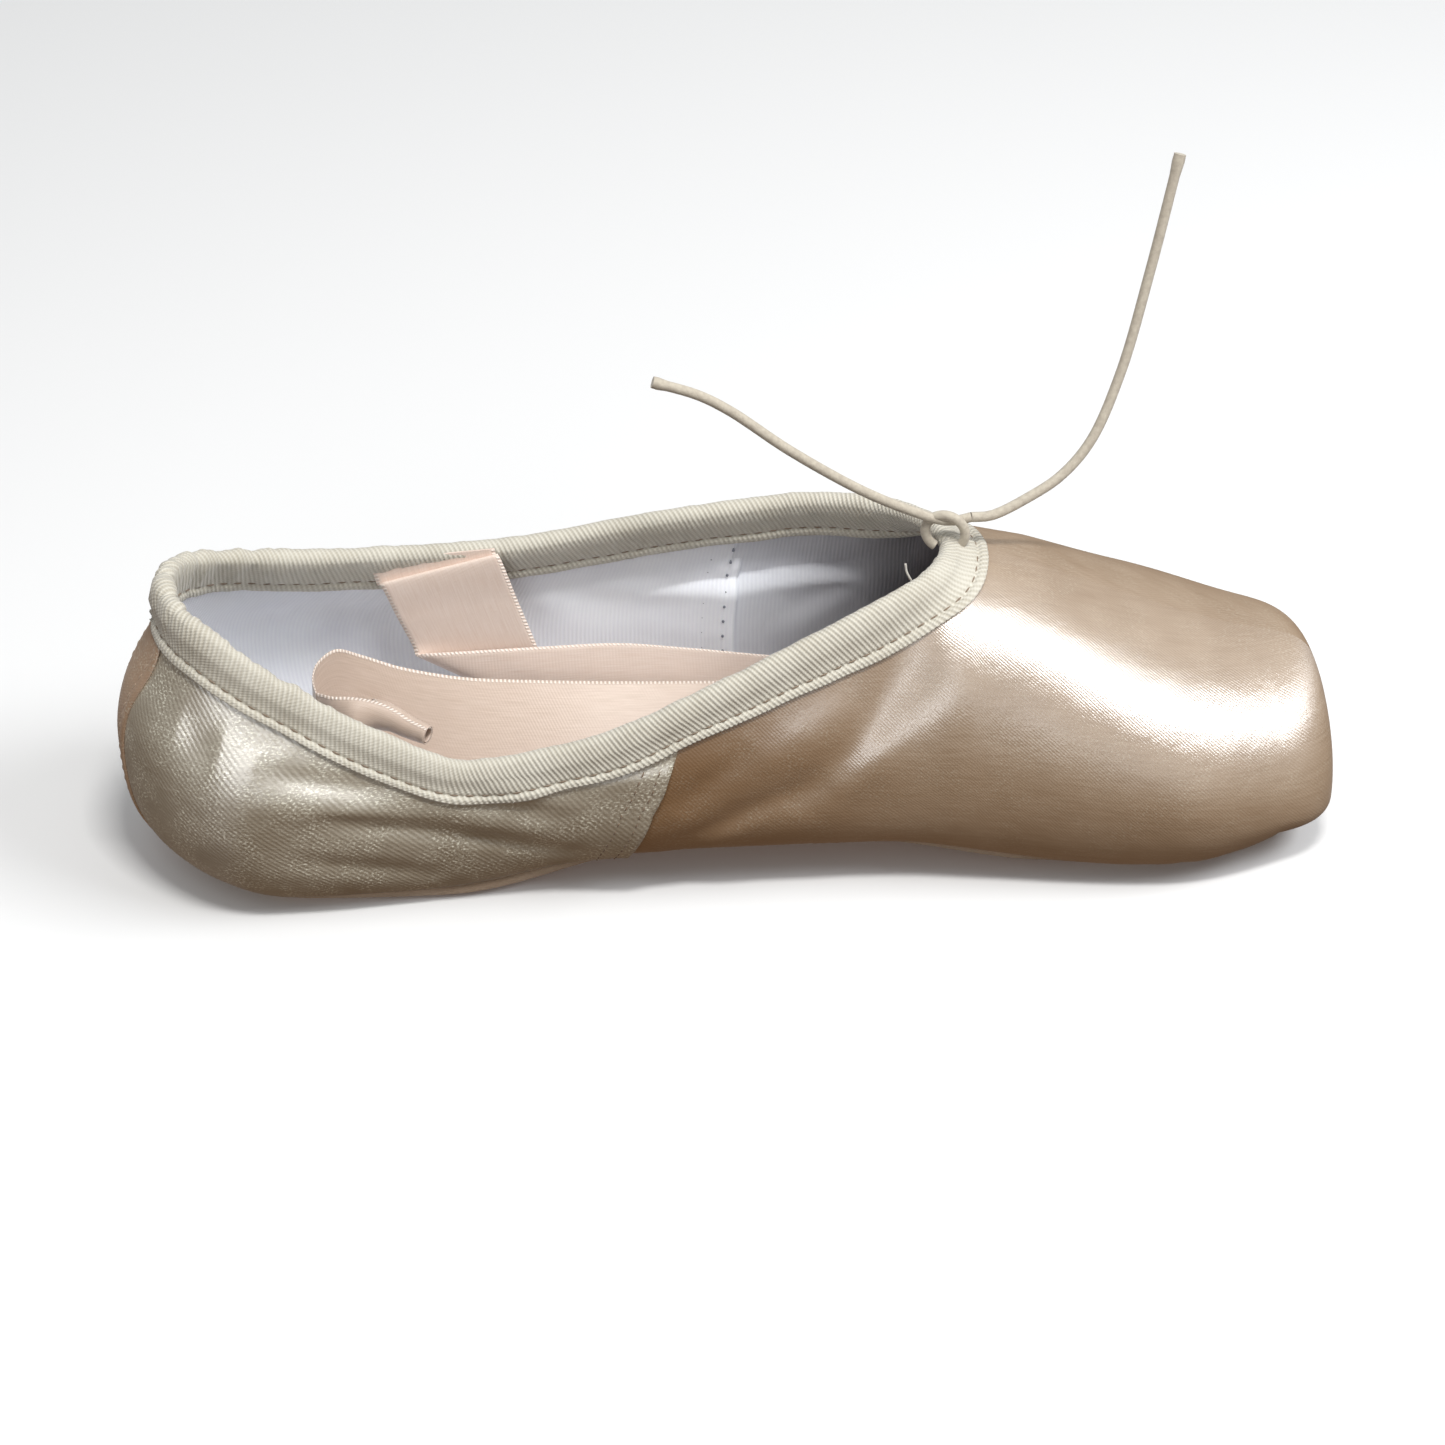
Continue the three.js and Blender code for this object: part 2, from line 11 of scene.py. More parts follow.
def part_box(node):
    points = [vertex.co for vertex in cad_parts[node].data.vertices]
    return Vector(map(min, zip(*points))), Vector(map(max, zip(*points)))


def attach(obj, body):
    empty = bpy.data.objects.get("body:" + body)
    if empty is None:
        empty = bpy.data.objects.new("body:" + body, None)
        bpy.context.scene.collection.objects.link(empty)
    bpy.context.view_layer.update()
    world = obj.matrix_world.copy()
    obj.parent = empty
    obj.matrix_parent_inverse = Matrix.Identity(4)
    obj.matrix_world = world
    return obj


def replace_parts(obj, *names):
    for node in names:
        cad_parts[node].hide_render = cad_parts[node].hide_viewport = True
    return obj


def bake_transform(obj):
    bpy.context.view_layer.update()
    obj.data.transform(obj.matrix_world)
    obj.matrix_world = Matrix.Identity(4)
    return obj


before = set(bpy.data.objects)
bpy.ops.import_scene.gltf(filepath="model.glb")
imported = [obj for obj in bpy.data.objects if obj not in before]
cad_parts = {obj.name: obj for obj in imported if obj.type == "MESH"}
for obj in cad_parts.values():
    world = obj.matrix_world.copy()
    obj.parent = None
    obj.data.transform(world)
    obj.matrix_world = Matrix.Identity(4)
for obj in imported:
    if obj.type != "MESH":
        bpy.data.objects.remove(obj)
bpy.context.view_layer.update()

FAR, NEAR = 1, -1
SIDES = {"far": FAR, "near": NEAR}

# Driving dimensions, in millimetres of a shoe 238 long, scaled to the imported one
SHOE = 238.0
TIP_BULGE = 1.2
low_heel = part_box("satin_quarter_near")[0]
high_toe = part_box("satin_vamp")[1]
UNIT = (high_toe.x - low_heel.x) / (SHOE + TIP_BULGE)
TOE_X, HEEL_X = SHOE / 2, -SHOE / 2
HEEL_TOP_X, HEEL_SOLE_X = -109.0, -104.0
THROAT_X = 44.0
SOLE_FRONT_X, SOLE_ROUND_FROM = 106.0, 84.0
HEEL_RADIUS, HEEL_SOLE_RADIUS = 27.0, 22.0
TIP_RADIUS, TIP_REACH, TIP_SQUARENESS = 9.0, 13.0, 3.2
WIDEST, FULLNESS, WALL_SWELL = 0.4, 0.85, 0.55
WALL_LEAN = math.radians(18)
FLOOR_GAP = 1.6
CASING_DROP = 7.2
CORD_RADIUS = 1.0
RIBBON_WIDTH = 22.0
SATIN, LINING, TAPE, RIBBON = 0.5, 0.6, 0.55, 0.22
PLATFORM_EDGE = 2


def smooth(points):
    """A smooth curve through (x, value) points that never overshoots them."""
    xs = np.array([p[0] for p in points], float)
    ys = np.array([p[1] for p in points], float)
    step = np.diff(xs)
    rise = np.diff(ys) / step
    slope = np.zeros(len(xs))
    slope[0], slope[-1] = rise[0], rise[-1]
    for i in range(1, len(xs) - 1):
        if rise[i - 1] * rise[i] > 0:
            before, after = 2 * step[i] + step[i - 1], step[i] + 2 * step[i - 1]
            slope[i] = (before + after) / (before / rise[i - 1] + after / rise[i])

    def value(x):
        at = np.clip(x, xs[0], xs[-1])
        i = np.clip(np.searchsorted(xs, at, side="right") - 1, 0, len(xs) - 2)
        h = step[i]
        f = (at - xs[i]) / h
        return (
            (2 * f**3 - 3 * f**2 + 1) * ys[i]
            + (f**3 - 2 * f**2 + f) * h * slope[i]
            + (-2 * f**3 + 3 * f**2) * ys[i + 1]
            + (f**3 - f**2) * h * slope[i + 1]
        )

    return value


sole_half_width = smooth([(-104, 14), (-85, 20.5), (-55, 22), (-15, 17), (20, 18.5), (60, 24), (84, 24)])
sole_height = smooth([(-119, 3.5), (-95, 1.6), (-58, 1.6), (-15, 6.4), (25, 7), (60, 3.2), (78, 1.6),
                      (98, 1.6), (119, 3.7)])
body_half_width = smooth([(-119, 27), (-90, 31), (-50, 29), (-15, 30.5), (20, 30.5), (52, 34), (85, 37.5),
                          (119, 28)])
body_height = smooth([(-119, 26), (-60, 24), (0, 22), (52, 21), (90, 16.5), (119, 11)])
ridge_height = smooth([(44, 61.5), (52, 59), (80, 46.6), (105, 37.3), (119, 34.4)])
throat_height = float(ridge_height(THROAT_X))
top_half_width = {
    FAR: smooth([(0, 0), (0.12, 13), (0.25, 20), (0.4, 23), (0.55, 25), (0.7, 25.5), (0.82, 19.5),
                 (0.92, 11), (1, 0)]),
    NEAR: smooth([(0, 0), (0.12, 13), (0.25, 21.5), (0.4, 27.5), (0.55, 28), (0.7, 22.5), (0.82, 16.5),
                  (0.92, 9.5), (1, 0)]),
}
top_height = {
    FAR: smooth([(0, 61), (0.15, 56), (0.3, 51), (0.45, 49.5), (0.6, 53.5), (0.8, 57.5), (0.92, 60),
                 (1, throat_height)]),
    NEAR: smooth([(0, 61), (0.14, 57.2), (0.25, 47.8), (0.35, 37.4), (0.42, 31.3), (0.5, 34.2), (0.62, 44.8),
                  (0.8, 57), (0.92, 60.5), (1, throat_height)]),
}


def ease(low, high, x):
    """0 below low, 1 above high, with a smooth step between."""
    f = np.clip((np.asarray(x, float) - low) / (high - low), 0, 1)
    return f * f * (3 - 2 * f)


def round_end(f):
    """A quarter circle from 0 to 1."""
    return np.sqrt(np.clip(1 - (1 - np.clip(f, 0, 1)) ** 2, 0, 1))


def unit(vectors):
    return vectors / np.linalg.norm(vectors, axis=-1, keepdims=True)


def x_along(u, start):
    """The length position of u, for a back seam that starts at start."""
    opening = start + (THROAT_X - start) * (1 - np.cos(np.clip(u, 0, 1) * np.pi)) / 2
    return np.where(u <= 1, opening, THROAT_X + (TOE_X - THROAT_X) * (np.clip(u, 1, 2) - 1))


def skin(u, t, side):
    """Points of the outer face. u: 0 back seam, 1 throat, 2 platform edge, 3 its centre; t: 0 to 1 up."""
    u, t = np.broadcast_arrays(np.asarray(u, float), np.asarray(t, float))
    v = np.clip(u, 0, 2)
    x_sole, x_body, x_top = (x_along(v, start) for start in (HEEL_SOLE_X, HEEL_X, HEEL_TOP_X))
    into_tip = np.clip((TIP_REACH - TOE_X + x_body) / TIP_REACH, 0, 1)
    inset = TIP_RADIUS * (1 - np.sqrt(1 - into_tip**TIP_SQUARENESS))
    toe_round = round_end((SOLE_FRONT_X - x_sole) / (SOLE_FRONT_X - SOLE_ROUND_FROM))
    w_sole = sole_half_width(x_sole) * round_end((x_sole - HEEL_SOLE_X) / HEEL_SOLE_RADIUS) * toe_round
    z_sole = sole_height(x_sole) + inset / 2
    w_body = body_half_width(x_body) * round_end((x_body - HEEL_X) / HEEL_RADIUS) - inset
    z_body = body_height(x_body)
    is_open = v < 1
    w_top = np.where(is_open, top_half_width[side](np.clip(v, 0, 1)), 0)
    z_top = np.where(is_open, top_height[side](np.clip(v, 0, 1)), ridge_height(x_top) - inset)
    lean = WALL_LEAN + (math.pi / 2 - WALL_LEAN) * ease(0.8, 1, v)

    turn = np.clip(t / WIDEST, 0, 1) * math.pi / 2
    out, down = np.sin(turn) ** FULLNESS, np.clip(np.cos(turn), 0, 1) ** FULLNESS
    f = np.clip((t - WIDEST) / (1 - WIDEST), 0, 1)
    rise = z_top - z_body
    flare = np.maximum(w_body - w_top, 2)
    reach = WALL_SWELL * (rise * np.cos(lean) ** 2 + flare * np.sin(lean) ** 2)

    def bezier(a, b, c, d):
        return (1 - f) ** 3 * a + 3 * (1 - f) ** 2 * f * b + 3 * (1 - f) * f**2 * c + f**3 * d

    low = t <= WIDEST
    x = np.where(low, x_sole + (x_body - x_sole) * out, x_body + (x_top - x_body) * f * f * (3 - 2 * f))
    y = np.where(low, w_sole + (w_body - w_sole) * out,
                 bezier(w_body, w_body, w_top + reach * np.sin(lean), w_top))
    z = np.where(low, z_body + (z_sole - z_body) * down,
                 bezier(z_body, z_body + WALL_SWELL * rise, z_top - reach * np.cos(lean), z_top))
    points = np.stack([x, side * y, z], -1)
    if np.any(u > PLATFORM_EDGE):
        g = np.clip(u - PLATFORM_EDGE, 0, 1)[..., None]
        edge_low, edge_high = (skin(PLATFORM_EDGE, t, side)[2] for t in (0.0, 1.0))
        centre = np.array([TOE_X, 0, (edge_low + edge_high) / 2])
        flat = points + (centre - points) * g
        flat[..., 0] = TOE_X + TIP_BULGE * round_end(g[..., 0])
        points = np.where(g > 0, flat, points)
    return points


def outward(u, t, side):
    """The skin's outward direction, which has no y part on the middle plane."""
    u, t = np.broadcast_arrays(np.asarray(u, float), np.asarray(t, float))
    d = 0.003
    ahead = np.where(u <= PLATFORM_EDGE, np.minimum(u + d, PLATFORM_EDGE), u + d)
    along = skin(ahead, t, side) - skin(np.maximum(u - d, 0), t, side)
    up = skin(u, np.minimum(t + d, 1), side) - skin(u, np.maximum(t - d, 0), side)
    normal = -side * np.cross(along, up)
    normal[..., 1] = np.where(np.abs(skin(u, t, side)[..., 1]) < 1e-6, 0, normal[..., 1])
    normal = np.where((u > PLATFORM_EDGE + 0.4)[..., None], np.array([1.0, 0, 0]), normal)
    return normal / np.maximum(np.linalg.norm(normal, axis=-1, keepdims=True), 1e-9)


# Camera and light ---
def make_camera():
    look = bpy.data.cameras.new("camera")
    camera = bpy.data.objects.new("camera", look)
    bpy.context.scene.collection.objects.link(camera)
    azimuth, elevation, distance = math.radians(-5.4), math.radians(35.6), 0.703
    back = Vector((math.sin(azimuth) * math.cos(elevation), -math.cos(azimuth) * math.cos(elevation),
                   math.sin(elevation)))
    camera.location = Vector((0, 0, 0.026)) + back * distance
    camera.rotation_euler = (-back).to_track_quat("-Z", "Y").to_euler()
    look.sensor_width = 36
    look.lens = 88.3
    look.shift_x, look.shift_y = -0.0028, -0.0146
    look.clip_start, look.clip_end = 0.02, 20
    bpy.context.scene.camera = camera


def area_light(name, place, target, size, power, colour):
    lamp = bpy.data.lights.new(name, "AREA")
    lamp.shape = "RECTANGLE"
    lamp.size, lamp.size_y = size
    lamp.energy = power
    lamp.color = colour
    light = bpy.data.objects.new(name, lamp)
    light.location = place
    light.rotation_euler = (Vector(target) - Vector(place)).to_track_quat("-Z", "Y").to_euler()
    bpy.context.scene.collection.objects.link(light)


def make_world():
    """Soft studio light: cool from above, a little warm light from below."""
    bpy.context.scene.view_settings.view_transform = "Standard"
    world = bpy.data.worlds.new("studio")
    bpy.context.scene.world = world
    world.use_nodes = True
    tree = world.node_tree
    place = tree.nodes.new("ShaderNodeTexCoord")
    split = tree.nodes.new("ShaderNodeSeparateXYZ")
    level = tree.nodes.new("ShaderNodeMapRange")
    level.inputs["From Min"].default_value = -1
    ramp = tree.nodes.new("ShaderNodeValToRGB")
    stops = ramp.color_ramp.elements
    stops[0].position, stops[0].color = 0.3, (0.13, 0.07, 0.032, 1)
    stops[1].position, stops[1].color = 1.0, (0.62, 0.64, 0.66, 1)
    horizon = stops.new(0.54)
    horizon.color = (0.17, 0.155, 0.14, 1)
    tree.links.new(place.outputs["Generated"], split.inputs["Vector"])
    tree.links.new(split.outputs["Z"], level.inputs["Value"])
    tree.links.new(level.outputs["Result"], ramp.inputs["Fac"])
    tree.links.new(ramp.outputs["Color"], tree.nodes["Background"].inputs["Color"])


def make_room():
    make_world()
    area_light("key", (0.08, -0.36, 1.05), (0.02, 0, 0.03), (0.28, 0.12), 6.8, (1, 0.985, 0.96))
    area_light("fill", (0.62, -0.22, 0.72), (-0.06, 0, 0.03), (0.5, 0.3), 5.5, (0.96, 0.98, 1))
    area_light("front", (-0.5, -1.1, 0.5), (-0.02, 0, 0.03), (0.6, 0.4), 2.2, (0.97, 0.985, 1))
    size = 6.0
    corners = [(-size, -size, 0), (size, -size, 0), (size, size, 0), (-size, size, 0)]
    mesh = bpy.data.meshes.new("floor")
    mesh.from_pydata(corners, [], [(0, 1, 2, 3)])
    floor = bpy.data.objects.new("floor", mesh)
    floor.location.z = -0.0003
    floor.visible_diffuse = False
    floor.visible_glossy = False
    bpy.context.scene.collection.objects.link(floor)
    paint = Material("floor_paint", (0.80, 0.80, 0.80), 0.9)
    floor.data.materials.append(paint.material)


# Materials ---
class Material:
    """A small builder of procedural materials. UV maps are in millimetres on the cloth."""

    def __init__(self, name, colour, roughness, **sockets):
        self.material = bpy.data.materials.new(name)
        self.material.use_nodes = True
        self.tree = self.material.node_tree
        self.shader = self.tree.nodes["Principled BSDF"]
        self.set(self.shader, "Base Color", colour)
        self.set(self.shader, "Roughness", roughness)
        for socket, value in sockets.items():
            self.set(self.shader, socket.replace("_", " "), value)
        self.height = None

    def set(self, node, socket, value):
        if isinstance(value, (tuple, list)) and len(value) == 3:
            value = (*value, 1)
        if isinstance(value, bpy.types.NodeSocket):
            self.tree.links.new(value, node.inputs[socket])
        else:
            node.inputs[socket].default_value = value

    def node(self, kind, settings=None, **inputs):
        made = self.tree.nodes.new("ShaderNode" + kind)
        for key, value in (settings or {}).items():
            setattr(made, key, value)
        for socket, value in inputs.items():
            self.set(made, socket.replace("_", " "), value)
        return made

    def uv(self, scale=(1, 1, 1), angle=0):
        place = self.node("UVMap", {"uv_map": "UVMap"}).outputs["UV"]
        mapping = self.node("Mapping", None, Vector=place)
        mapping.inputs["Scale"].default_value = scale
        mapping.inputs["Rotation"].default_value = (0, 0, math.radians(angle))
        return mapping.outputs["Vector"]

    def uv_part(self, part):
        return self.node("SeparateXYZ", None, Vector=self.uv()).outputs[part]

    def space(self):
        """The piece's own coordinates in millimetres, for pieces without a UV map."""
        place = self.node("TexCoord").outputs["Object"]
        mapping = self.node("Mapping", None, Vector=place)
        mapping.inputs["Scale"].default_value = (1000, 1000, 1000)
        return mapping.outputs["Vector"]

    def noise(self, place, scale, detail=3, roughness=0.55):
        return self.node("TexNoise", None, Vector=place, Scale=scale, Detail=detail,
                         Roughness=roughness).outputs["Fac"]

    def ribs(self, place, per_mm, distortion=0.0, direction="X"):
        """Parallel ribs, per_mm of them in a millimetre. A wave texture repeats every pi/10 units."""
        wave = self.node("TexWave", {"wave_type": "BANDS", "bands_direction": direction,
                                     "wave_profile": "SIN"}, Vector=place,
                         Scale=per_mm * math.pi / 10, Distortion=distortion)
        wave.inputs["Detail"].default_value = 1
        return wave.outputs["Fac"]

    def math(self, kind, a, b=0.5, c=0.5):
        made = self.node("Math", {"operation": kind})
        for i, value in enumerate((a, b, c)):
            self.set(made, i, value)
        return made.outputs[0]

    def range(self, value, low, high, to_low=0.0, to_high=1.0):
        made = self.node("MapRange", None, Value=value)
        numbers = {"From Min": low, "From Max": high, "To Min": to_low, "To Max": to_high}
        for socket, number in numbers.items():
            self.set(made, socket, number)
        return made.outputs["Result"]

    def sum(self, a, share_a, b, share_b):
        return self.math("MULTIPLY_ADD", a, share_a, self.math("MULTIPLY", b, share_b))

    def mix(self, factor, a, b):
        made = self.node("Mix", {"data_type": "RGBA"})
        self.set(made, 0, factor)
        self.set(made, 6, a)
        self.set(made, 7, b)
        return made.outputs[2]

    def bump(self, height, distance_mm, strength=1.0):
        made = self.node("Bump", None, Height=height, Strength=strength, Distance=distance_mm / 1000)
        if self.height is not None:
            self.set(made, "Normal", self.height)
        self.height = made.outputs["Normal"]
        self.set(self.shader, "Normal", self.height)

    def tangent(self):
        made = self.node("Tangent", {"direction_type": "UV_MAP", "uv_map": "UVMap"})
        self.set(self.shader, "Tangent", made.outputs["Tangent"])

    def colour(self, socket):
        self.set(self.shader, "Base Color", socket)

    def rough(self, socket):
        self.set(self.shader, "Roughness", socket)


# How far painted shade reaches, in millimetres along the cloth: from the waist seam, and into the toe
# lining.
WAIST_SHADE, LINING_SHADE = 58.0, 42.0
# The colour of painted highlight specks on satin.
PAINTED_GLINT_COLOUR = (0.94, 0.91, 0.75)


def satin_material(name, light, deep, turn, twill_pitch, twill, glint_paint_and_grain, painted_shade=None):
    """Satin shines in a band along its threads. turn is their direction as a share of a full turn.
    The number after twill sets painted highlight specks in the colour, and the bump of the fine grain.
    The last argument is a colour of painted shade for the cloth beside its seam at the waist."""
    made = Material(name, light, 0.38, IOR=2.3, Specular_IOR_Level=1.0, Anisotropic=0.86,
                    Anisotropic_Rotation=turn, Sheen_Weight=0.15, Sheen_Roughness=0.35)
    made.tangent()
    streaks = made.noise(made.uv((0.10, 1.6, 1)), 1.0, 4)
    patches = made.noise(made.uv(), 0.06, 3)
    grains = made.noise(made.uv((1, 1.6, 1)), 1.9, 2)
    weave = made.ribs(made.uv(angle=-50), 1 / twill_pitch, 0.8)
    shade = made.sum(streaks, 0.5, patches, 0.5)
    tone = made.mix(made.range(shade, 0.36, 0.64), deep, light)
    if painted_shade:
        # Painted shade: the cloth darkens towards its seam at the waist.
        tone = made.mix(made.range(made.uv_part("X"), 2, WAIST_SHADE, 0.8, 0), tone, painted_shade)
    body = made.mix(made.math("MULTIPLY", weave, 0.35 * twill), tone, deep)
    # Painted highlight: pale gold specks mixed into the cloth's colour in drifting patches, for the satin's
    # sparkling sheen.
    painted_glint_noise = made.noise(made.uv((1, 1.3, 1)), 1.7, 1)
    drift = made.range(made.noise(made.uv(), 0.11, 2), 0.40, 0.58)
    painted_glint_share = made.math("MULTIPLY", made.range(painted_glint_noise, 0.52, 0.68, 0, glint_paint_and_grain), drift)
    made.colour(made.mix(painted_glint_share, body, PAINTED_GLINT_COLOUR))
    made.rough(made.range(grains, 0.3, 0.7, 0.28, 0.41))
    made.bump(made.noise(made.uv(), 0.16, 3), 0.35, 0.5)
    made.bump(weave, 0.05, twill)
    made.bump(grains, 0.06, 0.4 + 0.6 * glint_paint_and_grain)
    return made.material


def tape_material(name, light, deep):
    made = Material(name, light, 0.85, Sheen_Weight=0.3, Sheen_Roughness=0.5)
    ribs = made.ribs(made.uv(angle=-20), 1.1, 0.35)
    cross = made.ribs(made.uv(angle=52), 1.7, 0.5)
    threads = made.noise(made.uv((1, 2.4, 1)), 2.4, 2)
    tone = made.noise(made.uv(), 0.10, 3)
    weave = made.sum(ribs, 0.75, cross, 0.25)
    shade = made.sum(weave, 0.55, tone, 0.7)
    made.colour(made.mix(made.range(shade, 0.2, 0.85), deep, light))
    made.bump(weave, 0.2, 0.9)
    made.bump(threads, 0.08, 0.7)
    return made.material


def drill_material(name, light, deep, painted_shade=None):
    """Cotton drill. The last argument is a colour of painted shade, which it reaches deep in the toe."""
    made = Material(name, light, 0.97, Specular_IOR_Level=0.2)
    ribs = made.ribs(made.uv(), 1.2, 0.25)
    threads = made.noise(made.uv((1, 0.3, 1)), 2.0, 2)
    tone = made.noise(made.uv(), 0.05, 3)
    shade = made.sum(ribs, 0.25, tone, 0.9)
    cloth = made.mix(made.range(shade, 0.3, 0.85), deep, light)
    if painted_shade:
        # Painted shade: the lining darkens deeper into the toe.
        cloth = made.mix(made.range(made.uv_part("X"), 0, LINING_SHADE), cloth, painted_shade)
    made.colour(cloth)
    made.bump(made.math("MULTIPLY_ADD", threads, 0.5, ribs), 0.05, 0.8)
    return made.material


def ribbon_material(name, light, deep):
    """Ribbon satin, with a bright row of small loops along each selvedge."""
    made = Material(name, light, 0.45, IOR=1.5, Specular_IOR_Level=0.6, Anisotropic=0.6,
                    Sheen_Weight=0.2, Sheen_Roughness=0.4)
    made.tangent()
    weft = made.ribs(made.uv(angle=24), 1.7, 0.4)
    warp = made.noise(made.uv((0.12, 2.4, 1)), 1.4, 3)
    half = RIBBON_WIDTH / 2
    from_middle = made.math("ABSOLUTE", made.math("SUBTRACT", made.uv_part("Y"), half))
    selvedge = made.range(from_middle, half - 0.75, half - 0.55)
    picots = made.ribs(made.uv(), 1.2, 0.0)
    body = made.mix(made.range(warp, 0.3, 0.72), deep, light)
    made.colour(made.mix(selvedge, body, made.mix(picots, deep, (0.88, 0.78, 0.70))))
    made.bump(made.math("MULTIPLY", selvedge, picots), 0.16, 0.8)
    made.bump(made.sum(weft, 0.9, warp, 0.4), 0.03, 0.6)
    return made.material


def cord_material():
    made = Material("cord_cotton", (0.60, 0.53, 0.43), 0.85, Sheen_Weight=0.3, Sheen_Roughness=0.5)
    fibres = made.noise(made.space(), 1.1, 3)
    made.colour(made.mix(made.range(fibres, 0.3, 0.7), (0.42, 0.37, 0.30), (0.54, 0.49, 0.40)))
    made.bump(fibres, 0.12, 0.5)
    return made.material


def thread_material(name, colour):
    made = Material(name, colour, 0.6, Sheen_Weight=0.3, Sheen_Roughness=0.5)
    place = made.space()
    twist = made.noise(place, 4, 2)
    made.colour(made.mix(made.range(twist, 0.3, 0.7), tuple(0.7 * c for c in colour), colour))
    made.bump(twist, 0.05, 0.7)
    return made.material


def leather_material(name, light, deep):
    made = Material(name, light, 0.8, Sheen_Weight=0.2, Sheen_Roughness=0.6)
    place = made.space()
    grain = made.noise(place, 1.4, 6, 0.65)
    wear = made.noise(place, 0.05, 4)
    shade = made.sum(grain, 0.5, wear, 0.6)
    made.colour(made.mix(made.range(shade, 0.35, 0.75), deep, light))
    made.bump(grain, 0.15, 0.8)
    return made.material


def plain_material(name, light, deep, roughness, metallic=0.0):
    made = Material(name, light, roughness, Metallic=metallic)
    grain = made.noise(made.space(), 0.8, 5)
    made.colour(made.mix(made.range(grain, 0.3, 0.7), deep, light))
    made.bump(grain, 0.1, 0.5)
    return made.material


# Mesh building ---
def piece(name, points, faces, uvs, material):
    """A mesh object from points in millimetres. uvs has one (u, v) for each point, or is None."""
    mesh = bpy.data.meshes.new(name)
    mesh.from_pydata((np.asarray(points) * UNIT).tolist(), [], faces)
    if uvs is not None:
        layer = mesh.uv_layers.new(name="UVMap")
        corner = np.zeros(len(mesh.loops), int)
        mesh.loops.foreach_get("vertex_index", corner)
        layer.data.foreach_set("uv", np.asarray(uvs, float)[corner].astype(np.float32).ravel())
    mesh.polygons.foreach_set("use_smooth", [True] * len(mesh.polygons))
    made = bpy.data.objects.new(name, mesh)
    bpy.context.scene.collection.objects.link(made)
    mesh.materials.append(material)
    return made


def grid_faces(rows, columns, start=0, flip=False, loop=False):
    """The faces between rows of points. loop joins each row's last point to its first."""
    faces = []
    for i in range(rows - 1):
        for j in range(columns if loop else columns - 1):
            a, d = start + i * columns + j, start + i * columns + (j + 1) % columns
            b, c = a + columns, d + columns
            faces.append((d, c, b, a) if flip else (a, b, c, d))
    return faces


def weld(made):
    """Joins points that lie on each other."""
    work = bmesh.new()
    work.from_mesh(made.data)
    bmesh.ops.remove_doubles(work, verts=work.verts, dist=1e-6)
    work.to_mesh(made.data)
    work.free()


def thicken(made, thickness):
    """Gives a sheet its thickness, inwards, and makes it final."""
    shell = made.modifiers.new("shell", "SOLIDIFY")
    shell.thickness = thickness * UNIT
    shell.offset = -1
    bpy.context.view_layer.update()
    ready = made.evaluated_get(bpy.context.evaluated_depsgraph_get())
    mesh = bpy.data.meshes.new_from_object(ready)
    made.modifiers.clear()
    old = made.data
    made.data = mesh
    bpy.data.meshes.remove(old)
    made.data.name = made.name


def flex(made):
    """Bakes the piece's placement into its mesh."""
    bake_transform(made)
    return made


# Relief: soft folds and pleats, as outward moves of the skin in millimetres ---
def fold(points, start, end, width, height):
    """A soft ridge along the line from start to end, both (x, z), fading at its ends."""
    a, b = np.array(start, float), np.array(end, float)
    flat = points[..., [0, 2]]
    along = b - a
    length = np.linalg.norm(along)
    share = ((flat - a) @ along) / length**2
    off = np.abs((flat - a) @ np.array([-along[1], along[0]])) / length
    fade = np.sin(np.clip(share, 0, 1) * np.pi) ** 0.7
    return height * fade * np.exp(-((off / width) ** 2))


def wander(points, size, seed):
    """Slow random variation, -1 to 1."""
    flat = points.reshape(-1, 3) / size + seed * 17.3
    values = np.array([noise.noise(Vector(p)) for p in flat])
    return values.reshape(points.shape[:-1])


# Each fold: start, end, width, height. A negative height is a valley.
SATIN_FOLDS = {
    NEAR: [
        ((-92, 36), (-66, 29.5), 2.2, -0.9), ((-92, 30), (-60, 24.5), 3.2, 0.7),
        ((-82, 26), (-46, 16.5), 2, -1), ((-56, 19), (-27, 10.5), 2, -0.9),
        ((-62, 25.5), (-34, 18.5), 3, 0.8), ((-88, 16.5), (-56, 8), 2.4, -0.8),
        ((-50, 31), (-30, 24), 2.6, 0.5), ((-106, 41.5), (-99, 38.5), 4.5, -0.9),
        ((39, 52), (9, 21.5), 4.2, -1.3), ((17, 28), (-16, 11.5), 3.6, -1), ((44, 49), (15, 20), 3.6, 0.5),
        ((2, 36), (-13, 22), 3, -0.7), ((22, 44), (2, 30), 3.4, 0.4), ((8, 22), (-8, 12), 2.4, 0.6),
    ],
    FAR: [
        ((-84, 38), (-50, 26), 3.5, -0.8), ((-70, 30), (-36, 18), 3.5, 0.7), ((-46, 40), (-20, 28), 4, -0.7),
        ((39, 52), (9, 21.5), 4.5, -1.2), ((44, 49), (15, 20), 4, 0.9), ((12, 28), (-14, 13), 3.5, -0.8),
    ],
}
LINING_FOLDS = {
    NEAR: [((-60, 30), (-30, 22), 4, -0.8)],
    FAR: [
        ((-101, 50), (-86, 42), 4, -1.6), ((-92, 44), (-74, 40), 4, 0.5),
        ((-88, 34), (-66, 30), 5, -1.2),
        ((-28, 44), (-10, 32), 4, -1.3), ((-22, 38), (-6, 28), 3.5, 0.5),
        ((-40, 42), (-26, 26), 4.5, -0.9),
        ((34, 50), (12, 36), 3, -1.4), ((36, 44), (14, 28), 3, 0.5), ((30, 36), (12, 22), 3, -1.2),
    ],
}


PLEAT_CENTRE_X, PLEATS = 82, 11


